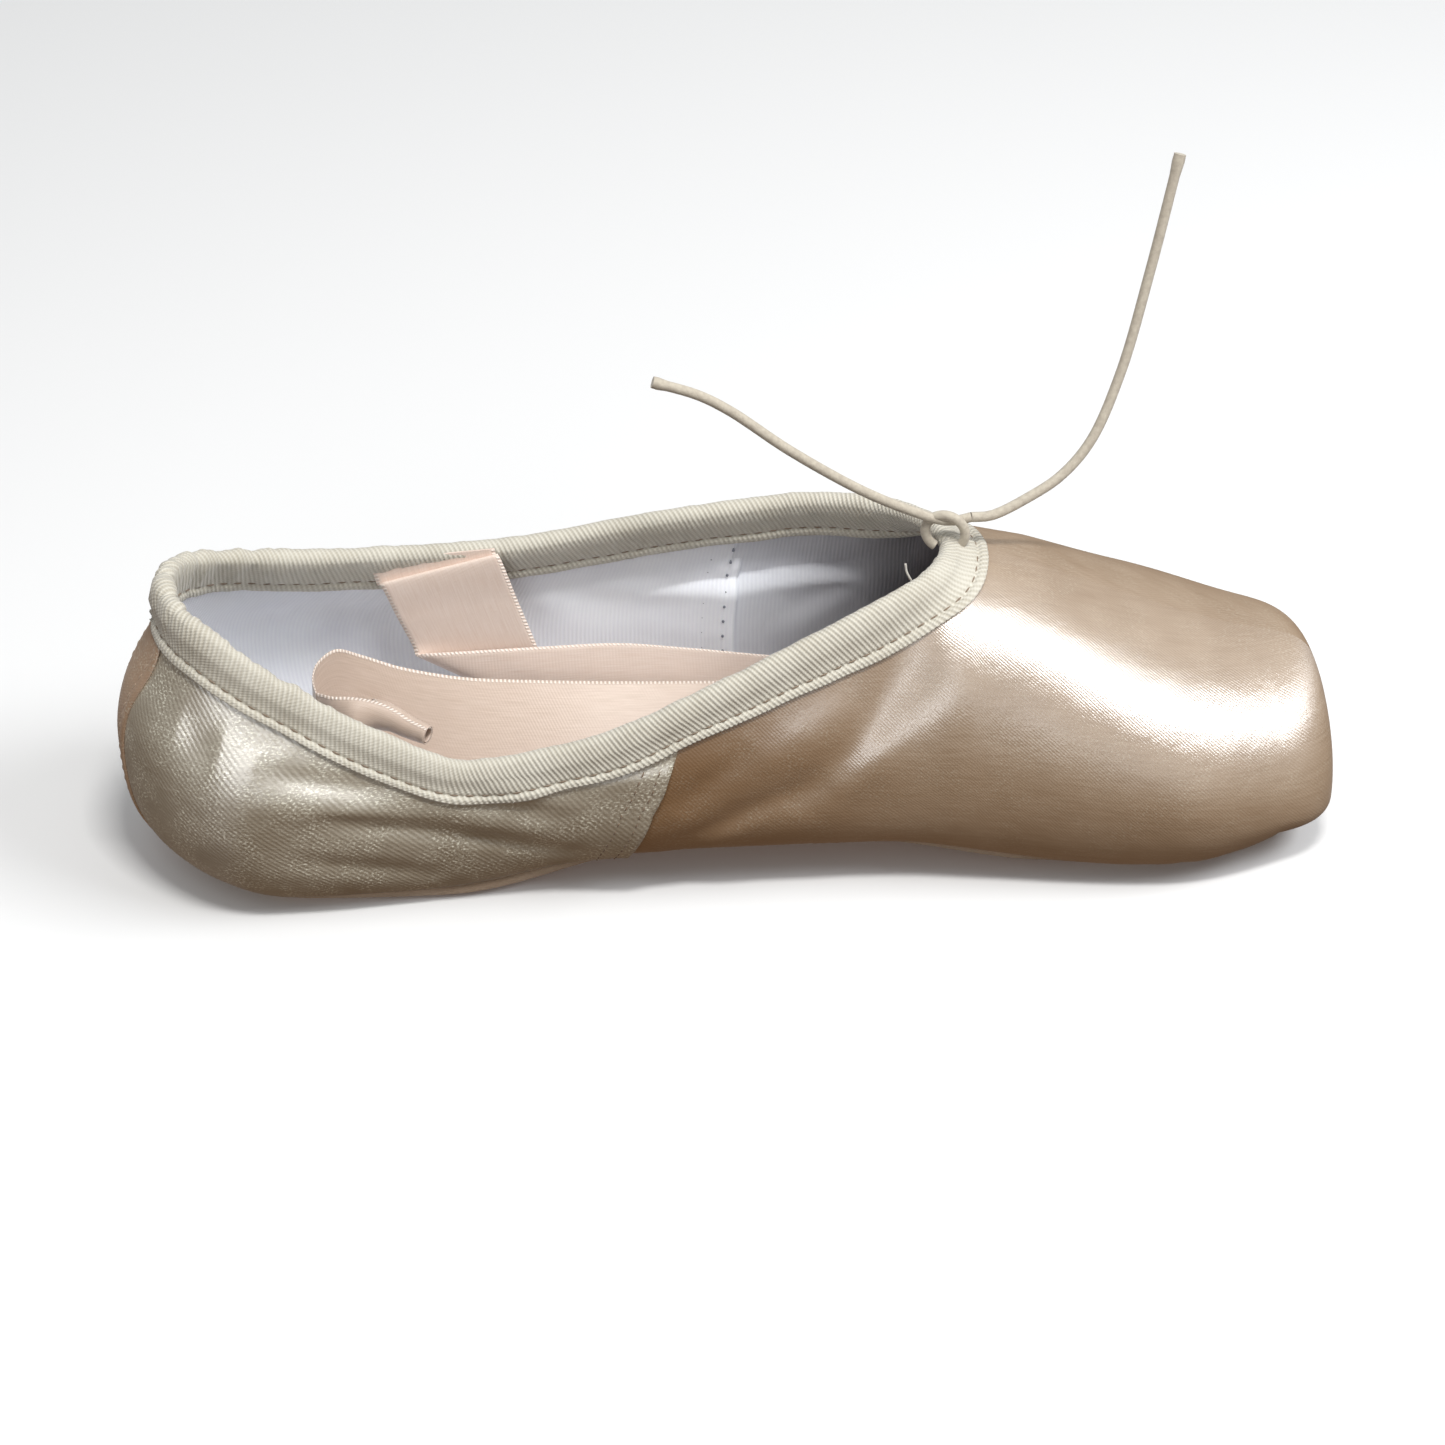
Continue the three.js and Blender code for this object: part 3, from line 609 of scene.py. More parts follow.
def folds(points, lines):
    return sum(fold(points, *line) for line in lines)


def toe_pleats(points, t):
    """Small pleats where the satin is drawn in under the toe, round the sole's front end."""
    x, y = points[..., 0], points[..., 1]
    angle = np.arctan2(y, x - PLEAT_CENTRE_X)
    near_sole = (1 - ease(0.04, 0.34, t)) * ease(78, 90, x)
    uneven = 0.6 + 0.4 * np.sin(angle * 3.1 + 1.0)
    return (0.75 + 0.5 * ease(96, 112, x)) * near_sole * uneven * (np.abs(np.sin(angle * PLEATS)) - 0.6)


def relief(points, u, t, side):
    """Outward moves of the satin: slow unevenness, that side's folds, and the pleats at the toe."""
    slow = 0.35 * wander(points, 26, 1) + 0.12 * wander(points, 9, 4)
    sharp = folds(points, SATIN_FOLDS[side]) * ease(2, 12, np.abs(points[..., 1]))
    held = ease(0.88, 1.0, t) * (1 - ease(1.0, 1.12, u))
    stiffened = 0.75 * ease(1.0, 1.2, u)
    return (slow + sharp) * (1 - held) * (1 - stiffened) + toe_pleats(points, t)


def lining_relief(points, u, t, side):
    """Outward moves of the lining, which lies smooth under the casing."""
    moves = 0.3 * wander(points, 22, 7) + 0.6 * folds(points, LINING_FOLDS[side])
    return moves * (1 - ease(0.56, 0.72, t))


# Upper ---
SATIN_COLUMNS = 91
WIDEST_COLUMN = round(WIDEST * (SATIN_COLUMNS - 1))
SEAM_LAP, LINING_SEAM = 0.022, 0.67
SEAM_PROUD = 0.12
CASING_ZONE = (0.64, 0.78)
LINING_DEPTH, BOX_THICKNESS = 1.4, 3.2


def side_seam(t):
    """Where the quarter's front edge lies, as u."""
    return 0.543 + 0.046 * ease(0, 0.55, t)


def lay(u, t, side, depth=0.0, rise=relief):
    """Points at a depth under the skin, moved outward by rise."""
    points = skin(u, t, side)
    move = rise(points, u, t, side) - depth
    return points + outward(u, t, side) * np.broadcast_to(move, points.shape[:-1])[..., None]


def even_out(values, along, reach):
    """Averages the rows of values over about reach millimetres along the cloth."""
    share = np.exp(-(((along[:, None] - along[None]) / reach) ** 2)) * np.gradient(along)[None]
    return share / share.sum(1, keepdims=True) @ values


def cloth_uv(points, level=None):
    """Millimetres along the rows and up the columns of a grid of points, up from the column named level."""
    along = np.zeros(points.shape[:2])
    along[1:] = np.cumsum(np.linalg.norm(np.diff(points, axis=0), axis=-1), axis=0)
    along = np.repeat(along.mean(1, keepdims=True), points.shape[1], axis=1)
    up = np.zeros(points.shape[:2])
    up[:, 1:] = np.cumsum(np.linalg.norm(np.diff(points, axis=1), axis=-1), axis=1)
    if level is not None:
        up = even_out(up - up[:, level:level + 1], along[:, 0], 7.0)
    return np.stack([along, up], -1)


def join_grids(grids, name, material, flips, level=None):
    """One piece from grids of points, welded where they meet."""
    points, uvs, faces, start = [], [], [], 0
    for grid, flip in zip(grids, flips):
        rows, columns = grid.shape[:2]
        faces += grid_faces(rows, columns, start, flip)
        points.append(grid.reshape(-1, 3))
        uvs.append(cloth_uv(grid, level).reshape(-1, 2))
        start += rows * columns
    made = piece(name, np.concatenate(points), faces, np.concatenate(uvs), material)
    weld(made)
    return made


def front_grid(side, border, wing_rows, toe_rows, columns, depth=0.0, rise=relief):
    """One side of the front: from a border that may slant, past the throat and over the platform."""
    t = np.linspace(0, 1, columns)
    left = 1 - np.linspace(0, 1, wing_rows)
    wing = 1 - (left + np.sqrt(left)) / 2
    rest = np.concatenate([1 + np.sin(np.linspace(0, math.pi / 2, toe_rows)[1:]),
                           2 + np.linspace(0, 1, 9)[1:] ** 1.2])
    start = border(t) if callable(border) else np.full_like(t, border)
    u = np.concatenate([start + (1 - start) * wing[:, None], np.repeat(rest[:, None], columns, 1)])
    tt = np.repeat(t[None], len(u), 0)
    return lay(u, tt, side, depth(u, tt) if callable(depth) else depth, rise)


def mesh_points(made):
    """The points of a piece, in millimetres."""
    points = np.zeros(len(made.data.vertices) * 3)
    made.data.vertices.foreach_get("co", points)
    return points.reshape(-1, 3) / UNIT


def soften(made, middle, reach, rounds):
    """Evens the mesh out within reach of x = middle, leaving its border where it is."""
    mesh = made.data
    points = mesh_points(made)
    edges = np.zeros(len(mesh.edges) * 2, int)
    mesh.edges.foreach_get("vertices", edges)
    edges = edges.reshape(-1, 2)
    of_loop = np.zeros(len(mesh.loops), int)
    mesh.loops.foreach_get("edge_index", of_loop)
    border = edges[np.bincount(of_loop, minlength=len(edges)) == 1]
    weight = 1 - ease(reach / 2, reach, np.abs(points[:, 0] - middle))
    weight[border.ravel()] = 0
    count = np.bincount(edges.ravel(), minlength=len(points))
    for _ in range(rounds):
        total = np.zeros_like(points)
        np.add.at(total, edges[:, 0], points[edges[:, 1]])
        np.add.at(total, edges[:, 1], points[edges[:, 0]])
        points += (total / count[:, None] - points) * (0.5 * weight)[:, None]
    mesh.vertices.foreach_set("co", (points * UNIT).ravel())
    mesh.update()


def faces_of(made):
    return [tuple(face.vertices) for face in made.data.polygons]


def make_vamp(material, skins):
    grids = [front_grid(side, lambda t: side_seam(t) - SEAM_LAP, 80, 110, SATIN_COLUMNS, SEAM_PROUD)
             for side in (FAR, NEAR)]
    made = join_grids(grids, "vamp_satin", material, [True, False], WIDEST_COLUMN)
    soften(made, THROAT_X, 18, 120)
    skins.append((mesh_points(made), faces_of(made)))
    thicken(made, SATIN)
    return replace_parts(flex(made), "satin_vamp")


def quarter_grid(side, rows=130):
    """The quarter laps over the vamp: it rises to its folded front edge, and lies flat under the casing."""
    t = np.linspace(0, 1, SATIN_COLUMNS)
    s = np.linspace(0, 1, rows)[:, None]
    u = side_seam(t)[None] * s
    tt = np.repeat(t[None], rows, 0)
    edge = np.clip((side_seam(tt) - u) / 0.05, 0, 9)
    raised = 0.5 * np.exp(-((edge / 0.9) ** 2)) + 0.22 * np.exp(-((edge / 0.1) ** 2))
    under_casing = ease(*CASING_ZONE, tt)
    grid = lay(u, tt, side, -raised * (1 - under_casing))
    grid[..., 1] += side * SEAM_PROUD * (1 - 0.7 * under_casing)
    return grid


def make_quarters(material, skins):
    for name, side in SIDES.items():
        made = join_grids([quarter_grid(side)], "quarter_satin_" + name, material, [side == FAR],
                          WIDEST_COLUMN)
        skins.append((mesh_points(made), faces_of(made)))
        thicken(made, SATIN)
        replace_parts(flex(made), "satin_quarter_" + name)


STRIP_REACH, STRIP_EDGE = 0.06, 0.86


def back_strip_grid(bottom, top, depth, swell):
    """A strip over the back seam, from one side to the other, thicker at its folded edges."""
    t = np.linspace(bottom, top, 70)
    bulge = 0.8 * swell * np.exp(-(((t - top) / 0.08) ** 2))
    rows = []
    for across in np.linspace(-1, 1, 41):
        side, u = (FAR if across > 0 else NEAR), abs(across)
        edge = swell * math.exp(-(((u - STRIP_EDGE) / 0.12) ** 2))
        rows.append(lay(np.full_like(t, u * STRIP_REACH), t, side, depth - edge - bulge))
    return np.array(rows)


def make_back_strips(satin, tape, thread):
    outer = join_grids([back_strip_grid(0.02, 0.9, -0.35, 0.2)], "back_strip_satin", satin, [True])
    thicken(outer, 0.4)
    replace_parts(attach(outer, "heel"), "back_seam_strip")
    inner = join_grids([back_strip_grid(0.3, 0.86, 2.35, -0.15)], "back_tape_inside", tape, [False])
    thicken(inner, 0.35)
    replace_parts(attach(inner, "heel"), "back_seam_tape")
    for name, side in SIDES.items():
        t = np.linspace(0.06, 0.86, 90)
        u = np.full_like(t, 0.7 * STRIP_REACH)
        made = stitch_run("back_strip_stitches_" + name, lay(u, t, side, -0.42), outward(u, t, side),
                          *STRIP_STITCH, thread)
        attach(made, "heel")


def lining_depth(u, t):
    """The lining lies on the satin at the heel, and inside the box from its wings on."""
    wing_edge = 0.68 + 0.5 * ease(0.45, 0.76, t - 0.12)
    return LINING_DEPTH + BOX_THICKNESS * ease(-0.1, 0, u - wing_edge)


def lining_lap(u):
    """How far in the quarter lining's front edge lies, over the vamp lining."""
    return 0.7 * ease(LINING_SEAM - 0.03, LINING_SEAM - 0.012, u)


def make_linings(material, painted_shade_front_material, thread):
    grids = [front_grid(side, LINING_SEAM - 0.01, 60, 60, 60, lambda u, t: lining_depth(u, t) + 0.1,
                        lining_relief) for side in (FAR, NEAR)]
    made = join_grids(grids, "vamp_lining_drill", painted_shade_front_material, [True, False])
    soften(made, THROAT_X, 18, 60)
    thicken(made, LINING)
    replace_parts(flex(made), "vamp_lining")
    for name, side in SIDES.items():
        t = np.linspace(0, 1, 80)
        u = np.linspace(0, LINING_SEAM, 130)[:, None] + 0 * t[None]
        tt = np.repeat(t[None], len(u), 0)
        depth = lining_depth(u, tt) + lining_lap(u) * (1 - ease(0.7, 0.8, tt))
        made = join_grids([lay(u, tt, side, depth, lining_relief)], "quarter_lining_drill_" + name, material,
                          [side == FAR])
        thicken(made, LINING)
        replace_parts(flex(made), "quarter_lining_" + name)
        for row, back in enumerate((0.011, 0.029)):
            t = np.linspace(0.12, 0.86, 120)
            u = np.full_like(t, LINING_SEAM - back)
            path = lay(u, t, side, lining_depth(u, t) + LINING + lining_lap(u), lining_relief)
            # The needle holes are small dark lozenges of painted shade.
            made = stitch_run(f"lining_seam_holes_{name}_{row + 1}", path, -outward(u, t, side),
                              *LINING_HOLE, thread, 0.1 + 0.9 * row, row * LINING_HOLE[0] / 2)
            flex(made)


# Casing ---
def skin_tree(skins):
    """A fast nearest-point search on the satin's outer face. skins holds (points, faces) of each piece."""
    points, faces, start = [], [], 0
    for found, quads in skins:
        faces += [tuple(start + k for k in face) for face in quads]
        points.append(found)
        start += len(found)
    return BVHTree.FromPolygons([Vector(p) for p in np.concatenate(points)], faces)


HEEL_PART, HEEL_PEAK = 0.09, 1.4
CORD_IN = 1.1


def top_loop(count):
    """Point, up, out and u round the top edge, from the throat by the far side. u is negative near."""
    def place(s):
        s = s % 1
        side, u = (FAR, 1 - 2 * s) if s < 0.5 else (NEAR, 2 * s - 1)
        rounding = HEEL_PEAK * max(1 - u / HEEL_PART, 0) ** 2
        return skin(u, 1.0, side) - (0, 0, rounding), skin(u, 0.88, side), side * u

    ridge_up = skin(1.0, 1.0, FAR) - skin(1.09, 1.0, FAR)
    frames = []
    for i in range(count):
        point, below, u = place(i / count)
        tangent = place(i / count + 0.004)[0] - place(i / count - 0.004)[0]
        back = 1 - ease(0, 1.3 * HEEL_PART, abs(u))
        tangent = unit((1 - back) * unit(tangent) + back * np.array([0, -1, 0]))
        f = ease(0.78, 1, abs(u))
        up = unit(point - below) * (1 - f) + unit(ridge_up) * f
        up = unit(up - up @ tangent * tangent)
        frames.append((point, up, unit(np.cross(tangent, up)), u))
    return frames


def off_skin(tree, point, height):
    """The point at a height outside the satin, over its spot nearest to the given point."""
    spot, normal, _, _ = tree.find_nearest(Vector(point))
    return np.array(spot) + np.array(normal) * height


STITCH_ABOVE_LIP = 2.0
NARROW_NEAR = 0.26
INNER_LEG_LEAST = 2.35
PINCH_REACH = 3.4
LEDGE_FROM, LEDGE_TO = CASING_DROP - 1.7, CASING_DROP - 1.2
# Height, lip and stitch groove of the casing's outer and inner legs
OUTER_LEG, INNER_LEG = (0.5, 0.3, 0.34), (2.6, 0.25, 0.25)
LEG_DROPS = np.concatenate([np.linspace(CASING_DROP, 4.2, 11), np.linspace(3.7, 0.4, 6)])


def leg_height(drop, base, lip, groove, bulge):
    """How far a leg of the casing stands off the wall at a drop below the edge."""
    ledge = lip * ease(LEDGE_FROM, LEDGE_TO, drop)
    sewn = groove * math.exp(-(((drop - CASING_DROP + STITCH_ABOVE_LIP) / 0.4) ** 2))
    return base + ledge - sewn + bulge * (1 - ease(0, 4.6, drop))


def ripple(s, size, row, column):
    """Slow random variation along the edge, -1 to 1. row and column pick one of many."""
    return noise.noise(Vector((s / size, row, column)))


def casing_grid(tree, count=560):
    """Rows round the top edge; columns from the outer leg's lower edge over the fold to the inner one's."""
    frames = top_loop(count)
    lengths = run_length([place[0] for place in [*frames, frames[0]]])
    rows = []
    for (point, up, out, u), s in zip(frames, lengths):
        from_throat = min(s, lengths[-1] - s)
        pinch = math.exp(-((from_throat / PINCH_REACH) ** 2))
        narrow = 1 - NARROW_NEAR * ease(0.08, 0.28, -u) * (1 - ease(0.58, 0.8, -u))
        u = abs(u)
        loose = 0.25 + 1.15 * (1 - ease(0.05, 0.42, u)) + 0.5 * ease(0.84, 0.97, u)
        gather = loose * (ripple(s, 3.4, 1.3, 0.1) + 0.5 * ripple(s, 1.3, 4.1, 0.6))
        drift = 0.4 * ripple(s, 9.0, 0.3, 0.7)
        drops = [point - up * (d * narrow + drift) for d in LEG_DROPS]
        row = []
        for d, spot in zip(LEG_DROPS, drops):
            height = leg_height(d, *OUTER_LEG, 0.6 - 0.4 * pinch) + 0.55 * gather * (1 - d / 9)
            row.append(off_skin(tree, spot, height))
        centre = point - out * CORD_IN + up * (1.2 + 0.35 * gather - 0.9 * pinch)
        radius = CORD_RADIUS + 1.0 + 0.45 * gather - 0.55 * pinch
        for a in np.linspace(0.1, 0.9, 9) * math.pi:
            row.append(centre + out * radius * math.cos(a) + up * radius * math.sin(a))
        for d, spot in zip(LEG_DROPS[::-1], drops[::-1]):
            height = leg_height(d, *INNER_LEG, 0.4) + 0.9 * gather * (1 - d / 10)
            row.append(off_skin(tree, spot, -max(height, INNER_LEG_LEAST)))
        rows.append(row)
    return np.array(rows), lengths


def make_casing(tree, material, thread):
    grid, lengths = casing_grid(tree)
    rows, columns = grid.shape[:2]
    uv = cloth_uv(grid)
    uv[..., 0] = lengths[:rows, None]
    uv[..., 1] = uv[..., 1].mean(0)[None]
    closing = np.concatenate([grid, grid[:1]])
    closing_uv = np.concatenate([uv, uv[:1]])
    closing_uv[-1, :, 0] = lengths[-1]
    made = piece("casing_tape", closing.reshape(-1, 3), grid_faces(rows + 1, columns),
                 closing_uv.reshape(-1, 2), material)
    weld(made)
    thicken(made, TAPE)
    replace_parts(flex(made), "drawstring_casing")
    sewn = int(np.argmin(np.abs(LEG_DROPS - CASING_DROP + STITCH_ABOVE_LIP)))
    # The stitches' dark colour is partly the thread and partly painted shade of their needle holes.
    for name, column in (("outer", sewn), ("inner", columns - 1 - sewn)):
        path = closing[:, column]
        beside = closing[:, column + 1] - closing[:, column - 1]
        along = np.roll(path, -1, axis=0) - np.roll(path, 1, axis=0)
        made = stitch_run("casing_stitches_" + name, path, unit(np.cross(along, beside)), *CASING_STITCH,
                          thread)
        flex(made)


# Stitches ---
LOZENGE, AROUND = (0, 0.18, 0.5, 0.82, 1), 6
# Pitch, length and radius of each kind of stitch
CASING_STITCH, SEAM_STITCH = (3.0, 1.9, 0.2), (2.1, 1.2, 0.15)
STRIP_STITCH, LINING_HOLE = (2.6, 1.6, 0.14), (3.6, 0.8, 0.3)


def run_length(points):
    """The distance from the first point to each one, along the points."""
    return np.concatenate([[0], np.cumsum(np.linalg.norm(np.diff(points, axis=0), axis=1))])


def at_length(s, steps, points):
    """The point, or points, at the distance s along the points."""
    return np.stack([np.interp(s, steps, points[:, k]) for k in range(3)], -1)


def stitch_run(name, path, normals, pitch, length, radius, material, sink=0.0, first=0.0):
    """Short threads lying along a line of points, each one a small closed lozenge."""
    steps = run_length(path)
    points, faces = [], []
    for middle in np.arange(first + pitch / 2, steps[-1] - length / 2, pitch):
        ends = [at_length(s, steps, path) for s in (middle - length / 2, middle + length / 2)]
        normal = unit(at_length(middle, steps, normals))
        across = np.cross(normal, unit(ends[1] - ends[0]))
        start = len(points)
        for share in LOZENGE:
            swell = radius * math.sin(math.pi * (0.08 + 0.84 * share)) ** 0.5
            dip = radius * (2 * abs(share - 0.5)) ** 2
            centre = ends[0] * (1 - share) + ends[1] * share + normal * (0.4 * radius - dip - sink * radius)
            for a in np.arange(AROUND) * 2 * math.pi / AROUND:
                points.append(centre + across * swell * math.cos(a) + normal * swell * math.sin(a))
        faces += grid_faces(len(LOZENGE), AROUND, start, flip=True, loop=True)
        faces.append(list(range(start, start + AROUND))[::-1])
        faces.append(list(range(len(points) - AROUND, len(points))))
    return piece(name, points, faces, None, material)


def make_seam_stitches(thread):
    """Two rows behind the quarter's folded front edge, on each side."""
    for name, side in SIDES.items():
        for row, back in enumerate((0.010, 0.024)):
            t = np.linspace(0.08, 0.76, 120)
            u = side_seam(t) - back
            raised = 0.5 * math.exp(-((back / 0.045) ** 2)) * (1 - ease(*CASING_ZONE, t))
            path = lay(u, t, side, -raised)
            path[..., 1] += side * SEAM_PROUD
            made = stitch_run(f"side_seam_stitches_{name}_{row + 1}", path, outward(u, t, side),
                              *SEAM_STITCH, thread)
            flex(made)


# Sole ---
SOLE_BACK, OUTSOLE_FRONT, SOCK_FRONT = -106, 108, 99


def sole_edge(x, margin, back, front):
    """Half the width of a sole piece that reaches margin past the sole line."""
    heel_round = round_end((x - back) / HEEL_SOLE_RADIUS)
    toe_round = round_end((front - x) / (SOLE_FRONT_X - SOLE_ROUND_FROM))
    return np.maximum((sole_half_width(x) + margin) * np.minimum(heel_round, toe_round), 0.3)


def slab(name, back, front, low, high, margin, material):
    """A flat piece from low to high over the sole line, with rounded edges."""
    rows, columns = 120, 25
    f = (1 - np.cos(np.linspace(0, math.pi, rows))) / 2
    x = back + (front - back) * f
    across = np.linspace(-1, 1, columns)
    half = sole_edge(x, margin, back, front)
    y = half[:, None] * across[None]
    half_thick = (high - low) / 2 * np.sqrt(np.clip(1 - np.abs(across) ** 6, 0, 1))[None]
    z_mid = sole_height(x)[:, None] + (low + high) / 2
    xx = np.repeat(x[:, None], columns, 1)
    grids = [np.stack([xx, y, z_mid + part * half_thick], -1) for part in (1, -1)]
    return join_grids(grids, name, material, [False, True])


def make_soles(leather, cotton):
    outsole = slab("outsole_leather", SOLE_BACK, OUTSOLE_FRONT, -FLOOR_GAP, 0.1, 2.5, leather)
    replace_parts(flex(outsole), "outsole")
    sock = slab("sock_cotton", SOLE_BACK, SOCK_FRONT, 4.6, 5.6, 3.4, cotton)
    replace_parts(flex(sock), "sock_lining")


# Drawstring ---
KNOT_CENTRE = (42.4, -0.2, 63.5)
LOOSE_THREAD = [(36.8, -4.6, 53.2), (35.4, -4.3, 55.6), (34.6, -4, 57.2), (34.3, -3.8, 59)]
END_TOWARD_HEEL = [
    (36.6, 0.5, 67.9), (31, 0.6, 70.6), (24, 1, 74.5), (12, 2, 82.5), (1, 4, 90.5), (-5, 4.5, 94),
    (-13.5, 5, 97),
]
END_TOWARD_TOE = [
    (47.4, 0.5, 66.2), (51.4, 1, 66), (59, 3, 68.5), (65.5, 5, 71.8), (71.5, 8, 77.5), (77.5, 13, 89.5),
    (83, 19, 107.5), (88.5, 25, 129.5),
]


def through(points, per_span=40):
    """A centripetal Catmull-Rom curve, with per_span samples between each two points."""
    def between(a, b, low, high, t):
        return ((high - t) * a + (t - low) * b) / (high - low)

    points = np.array(points, float)
    ends = np.concatenate([[2 * points[0] - points[1]], points, [2 * points[-1] - points[-2]]])
    found = []
    for i in range(len(points) - 1):
        p0, p1, p2, p3 = ends[i:i + 4]
        t1 = np.linalg.norm(p1 - p0) ** 0.5
        t2 = t1 + np.linalg.norm(p2 - p1) ** 0.5
        t3 = t2 + np.linalg.norm(p3 - p2) ** 0.5
        for t in np.linspace(t1, t2, per_span, endpoint=False):
            first = between(p0, p1, 0, t1, t)
            second = between(p1, p2, t1, t2, t)
            third = between(p2, p3, t2, t3, t)
            low, high = between(first, second, 0, t2, t), between(second, third, t1, t3, t)
            found.append(between(low, high, t1, t2, t))
    found.append(points[-1])
    return np.array(found)


def rounded(points, count):
    """The smooth curve through the points, at even steps, and its length."""
    curve = through(points)
    steps = run_length(curve)
    return at_length(np.linspace(0, steps[-1], count), steps, curve), steps[-1]


CORD_TIP = (1.0, 1.1, 1.22, 1.16)


def cord_curve(name, splines, radius, material, tip=()):
    """A round cord along each list of points. tip holds the last points' share of the radius."""
    data = bpy.data.curves.new(name, "CURVE")
    data.dimensions = "3D"
    data.bevel_depth = radius * UNIT
    data.bevel_resolution = 5
    data.use_fill_caps = True
    for points in splines:
        spline = data.splines.new("POLY")
        spline.points.add(len(points) - 1)
        for i, p in enumerate(points):
            spline.points[i].co = (*(np.array(p) * UNIT), 1)
        for i, share in enumerate(tip):
            spline.points[len(points) - len(tip) + i].radius = share
    made = bpy.data.objects.new(name, data)
    data.materials.append(material)
    bpy.context.scene.collection.objects.link(made)
    return made


def make_cord_run(material, count=260, around=12):
    """The cord inside the casing, from one side of the throat round the heel to the other."""
    angles = np.linspace(0, 2 * math.pi, around, endpoint=False)[:, None]
    rings = []
    for point, up, out, _ in top_loop(count)[3:-3]:
        centre = point - out * CORD_IN + up * 1.5
        rings.append(centre + 0.95 * CORD_RADIUS * (out * np.cos(angles) + up * np.sin(angles)))
    faces = grid_faces(len(rings), around, loop=True)
    faces.append(list(range(around)))
    faces.append([(len(rings) - 1) * around + k for k in range(around)][::-1])
    made = piece("cord_run", np.concatenate(rings), faces, None, material)
    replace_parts(flex(made), "drawstring_run")


def make_cord_ends(material):
    for name, route in (("heelward", END_TOWARD_HEEL), ("toeward", END_TOWARD_TOE)):
        points, length = rounded(route, 60)
        made = cord_curve("cord_end_" + name, [points], CORD_RADIUS, material, CORD_TIP)
        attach(made, "forefoot")
        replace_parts(made, "drawstring_end_" + name)


def make_knot(material, thread):
    """A turn of the cord over the run of cord that joins its two ends, and a loose sewing thread."""
    turn = np.linspace(-0.40, 1.34, 60) * math.pi
    ring = np.stack([3.7 * np.cos(turn), -1.3 * np.cos(turn), 3.8 * np.sin(turn)], -1)
    joining, _ = rounded([END_TOWARD_HEEL[0], (39.6, 0.4, 66.6), (42.4, 0.2, 65.9), (45.0, 0.3, 65.8),
                          END_TOWARD_TOE[0]], 40)
    made = cord_curve("cord_knot", [KNOT_CENTRE + ring, joining], 0.98, material)
    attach(made, "forefoot")
    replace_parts(made, "drawstring_knot")
    loose, _ = rounded(LOOSE_THREAD, 20)
    end = cord_curve("loose_thread", [loose], 0.22, thread)
    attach(end, "forefoot")


# Ribbons ---
def ribbon_piece(name, grid, material):
    """A ribbon from rows of points across it, lower selvedge first."""
    rows, columns = grid.shape[:2]
    share = np.linspace(0, 1, columns)
    low, high = run_length(grid[:, 0]), run_length(grid[:, -1])
    uv = np.zeros((rows, columns, 2))
    uv[..., 0] = low[:, None] * (1 - share) + high[:, None] * share
    uv[..., 1] = RIBBON_WIDTH * share
    made = piece(name, grid.reshape(-1, 3), grid_faces(rows, columns), uv.reshape(-1, 2), material)
    thicken(made, RIBBON)
    flex(made)
    return made


def between_selvedges(upper, lower, columns=19):
    """Rows of points across a ribbon, from its two selvedges."""
    high, low = through(upper, 18), through(lower, 18)
    share = np.linspace(0, 1, columns)[None, :, None]
    return low[:, None] * (1 - share) + high[:, None] * share


# The rolled end's top line, from the ribbon's turn at the heel towards the waist
ROLL_TOP = [
    (-77.5, -8.4, 38.4), (-74.2, -9.4, 38.8), (-71.2, -10.2, 38.8), (-68.3, -11.2, 38.5),
    (-65.3, -12.8, 37.7), (-62.5, -14.8, 36.6), (-59.3, -17.4, 36.2),
]
ROLL_CURL, ROLL_TIP_IN = 9.6, math.radians(58)


def rolled_end(first):
    """The near ribbon's end: rows across it, from the flat row given, curling into a roll."""
    top = through([first[-1], *ROLL_TOP], 12)[1:]
    ahead = unit(np.gradient(top, axis=0))
    across = first[0] - first[-1]
    hanging = math.atan2(across[2], across[1])
    step = np.linalg.norm(across) / (len(first) - 1)
    found = []
    for i, start in enumerate(top):
        f = (i + 1) / len(top)
        level = unit(np.array([-ahead[i][1] * ease(0, 0.5, f), 1, 0]))
        up = unit(np.cross(ahead[i], level))
        curl = ROLL_CURL * f**1.1
        heading = hanging - ROLL_TIP_IN * ease(0, 0.4, f)
        point, section = np.array(start), [np.array(start)]
        for k in range(len(first) - 1):
            share = (k + 0.5) / (len(first) - 1)
            angle = heading + curl * share * (1 + 0.25 * share)
            point = point + step * (level * math.cos(angle) + up * math.sin(angle))
            section.append(point)
        found.append(section[::-1])
    return np.array(found)


# Selvedges of the far ribbon: sewn end, crease, hanging ply, slanted fold, then along the shoe
FAR_UPPER = [
    (-69, 20.2, 50.6), (-67.6, 19.9, 44.6), (-67.2, 19, 45.5), (-64.2, 18.8, 37.6), (-61.4, 18.4, 30.4),
    (-60.9, 17.4, 28.9), (-59.4, 16.2, 30), (-48, 15.6, 30.6), (-36, 15.8, 30.6), (-20, 16, 30.3),
    (-6, 15.3, 28.7), (11, 13.5, 27), (36, 12, 25), (50, 11.5, 24.2),
]
FAR_LOWER = [
    (-44.2, 20.2, 51.9), (-43.9, 20, 50.2), (-43.5, 19, 51), (-40, 18.6, 40), (-35.6, 17.4, 26.5),
    (-31, 15.4, 11.6), (-28.5, 13.4, 11.2), (-20, 12.3, 11.6), (-10, 11.3, 13), (0, 10.5, 14),
    (8, 10, 14.6), (20, 9.5, 14.6), (36, 9, 14.6), (50, 8.6, 14.2),
]
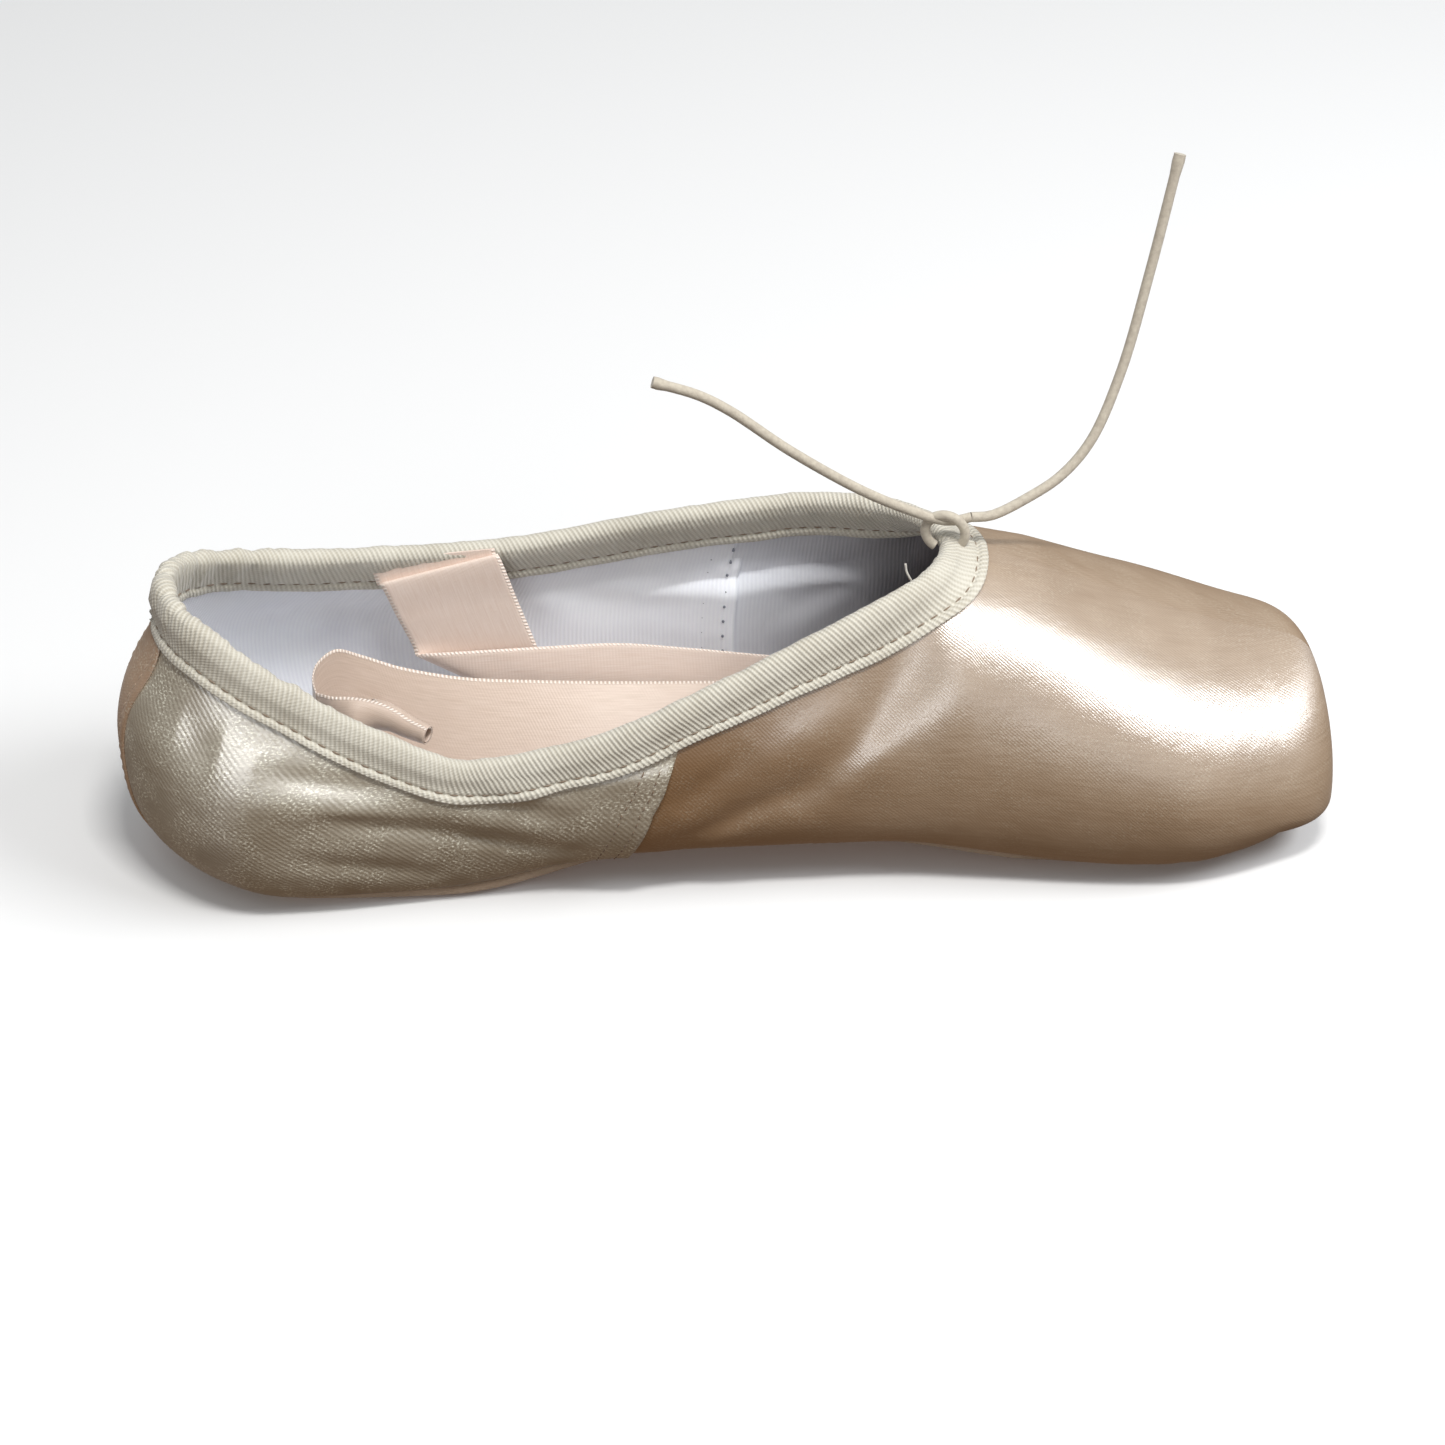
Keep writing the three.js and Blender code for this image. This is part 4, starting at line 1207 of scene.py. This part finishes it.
# Selvedges of the near ribbon: from the toe back to its turn at the heel
NEAR_UPPER = [
    (50, 6.6, 22.8), (36, 7, 23.6), (20, 7.6, 24.4), (2, 8, 25.2), (-20.6, 8, 26.6), (-37.3, 8, 28),
    (-52.2, 8, 29.8), (-64.2, 8.2, 33), (-71.6, 7.5, 36.8), (-76.5, 4.6, 40.4), (-80, 1.2, 39.8),
    (-81, -2.5, 38.8), (-80.4, -6.4, 38),
]
NEAR_LOWER = [
    (50, -7.4, 14.2), (36, -8, 14.6), (16, -9, 14.8), (0, -10, 14.4), (-20, -9.5, 13.4), (-37, -8, 12.6),
    (-52, -6.5, 12.8), (-65, -3.5, 14.4), (-74, -1, 17.2), (-79, -2, 18.8), (-81.5, -4.5, 18.8),
    (-81.8, -7.5, 18), (-80, -11, 17.2),
]


def make_ribbons(far_material, near_material):
    far = ribbon_piece("ribbon_far_satin", between_selvedges(FAR_UPPER, FAR_LOWER), far_material)
    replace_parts(far, "ribbon_far")
    flat = between_selvedges(NEAR_UPPER, NEAR_LOWER, 33)
    near = ribbon_piece("ribbon_near_satin", np.concatenate([flat, rolled_end(flat[-1])]), near_material)
    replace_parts(near, "ribbon_near")


def dress_cad(materials):
    """Materials for the CAD nodes that stay, the stiff pieces inside the shoe."""
    for node, material in materials.items():
        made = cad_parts[node]
        made.data.materials.clear()
        made.data.materials.append(material)


make_camera()
cord_cotton = cord_material()
make_cord_ends(cord_cotton)
make_room()
# Each satin's last number sets its painted highlight specks and grain bump; the front satin's extra colour
# is painted shade at the waist.
vamp_satin = satin_material("satin_front", (0.46, 0.34, 0.235), (0.36, 0.25, 0.16), 0.0, 0.55, 0.35, 0.15,
                            (0.22, 0.105, 0.035))
quarter_satin = satin_material("satin_quarter", (0.47, 0.42, 0.32), (0.29, 0.24, 0.16), 0.19, 0.9, 0.8, 1.0)
strip_satin = satin_material("satin_strip", (0.55, 0.36, 0.23), (0.42, 0.27, 0.16), 0.25, 0.6, 0.4, 0.5)
tape = tape_material("twill_tape", (0.63, 0.60, 0.52), (0.42, 0.38, 0.30))
drill = drill_material("cotton_drill", (0.93, 0.95, 0.98), (0.84, 0.85, 0.91))
# The front lining is a darker copy of the same white drill, painted shade, and darkens further to painted
# shade deep in the toe.
drill_front_painted_shade = drill_material("cotton_drill_front_painted_shade", (0.80, 0.82, 0.86), (0.68, 0.69, 0.75),
                             (0.17, 0.16, 0.17))
ribbon_far = ribbon_material("ribbon_satin_far", (0.80, 0.67, 0.59), (0.72, 0.57, 0.48))
# The near ribbon is a darker copy of the far ribbon's satin: painted shade on the same ribbon.
ribbon_near = ribbon_material("ribbon_satin_near_painted_shade", (0.60, 0.48, 0.40), (0.51, 0.39, 0.31))
leather = leather_material("buffed_leather", (0.62, 0.47, 0.34), (0.44, 0.31, 0.21))
# Casing thread, darkened with painted shade of its needle holes.
tape_thread_and_shade = thread_material("tape_thread_and_shade", (0.26, 0.19, 0.13))
satin_thread = thread_material("satin_thread", (0.24, 0.16, 0.10))
pale_thread = thread_material("pale_thread", (0.80, 0.76, 0.68))
strip_thread = thread_material("strip_thread", (0.50, 0.38, 0.27))
# Dark specks of painted shade for the needle holes in the lining seam.
needle_hole_shade = thread_material("needle_hole_shade", (0.16, 0.17, 0.21))
board = plain_material("fibre_board", (0.50, 0.38, 0.25), (0.36, 0.26, 0.17), 0.8)
paste = plain_material("pasted_hessian", (0.66, 0.57, 0.41), (0.50, 0.42, 0.29), 0.85)
steel = plain_material("nail_steel", (0.55, 0.55, 0.56), (0.40, 0.40, 0.41), 0.4, 1.0)

outer_skins = []
make_vamp(vamp_satin, outer_skins)
make_quarters(quarter_satin, outer_skins)
make_back_strips(strip_satin, tape, strip_thread)
make_seam_stitches(satin_thread)
make_linings(drill, drill_front_painted_shade, needle_hole_shade)
make_casing(skin_tree(outer_skins), tape, tape_thread_and_shade)
make_soles(leather, drill)
make_cord_run(cord_cotton)
make_knot(cord_cotton, pale_thread)
make_ribbons(ribbon_far, ribbon_near)
dress_cad({"toe_box": paste, "toe_filler": paste, "insole_board": board, "shank": board,
           "shank_nail_1": steel, "shank_nail_2": steel, "shank_nail_3": steel})
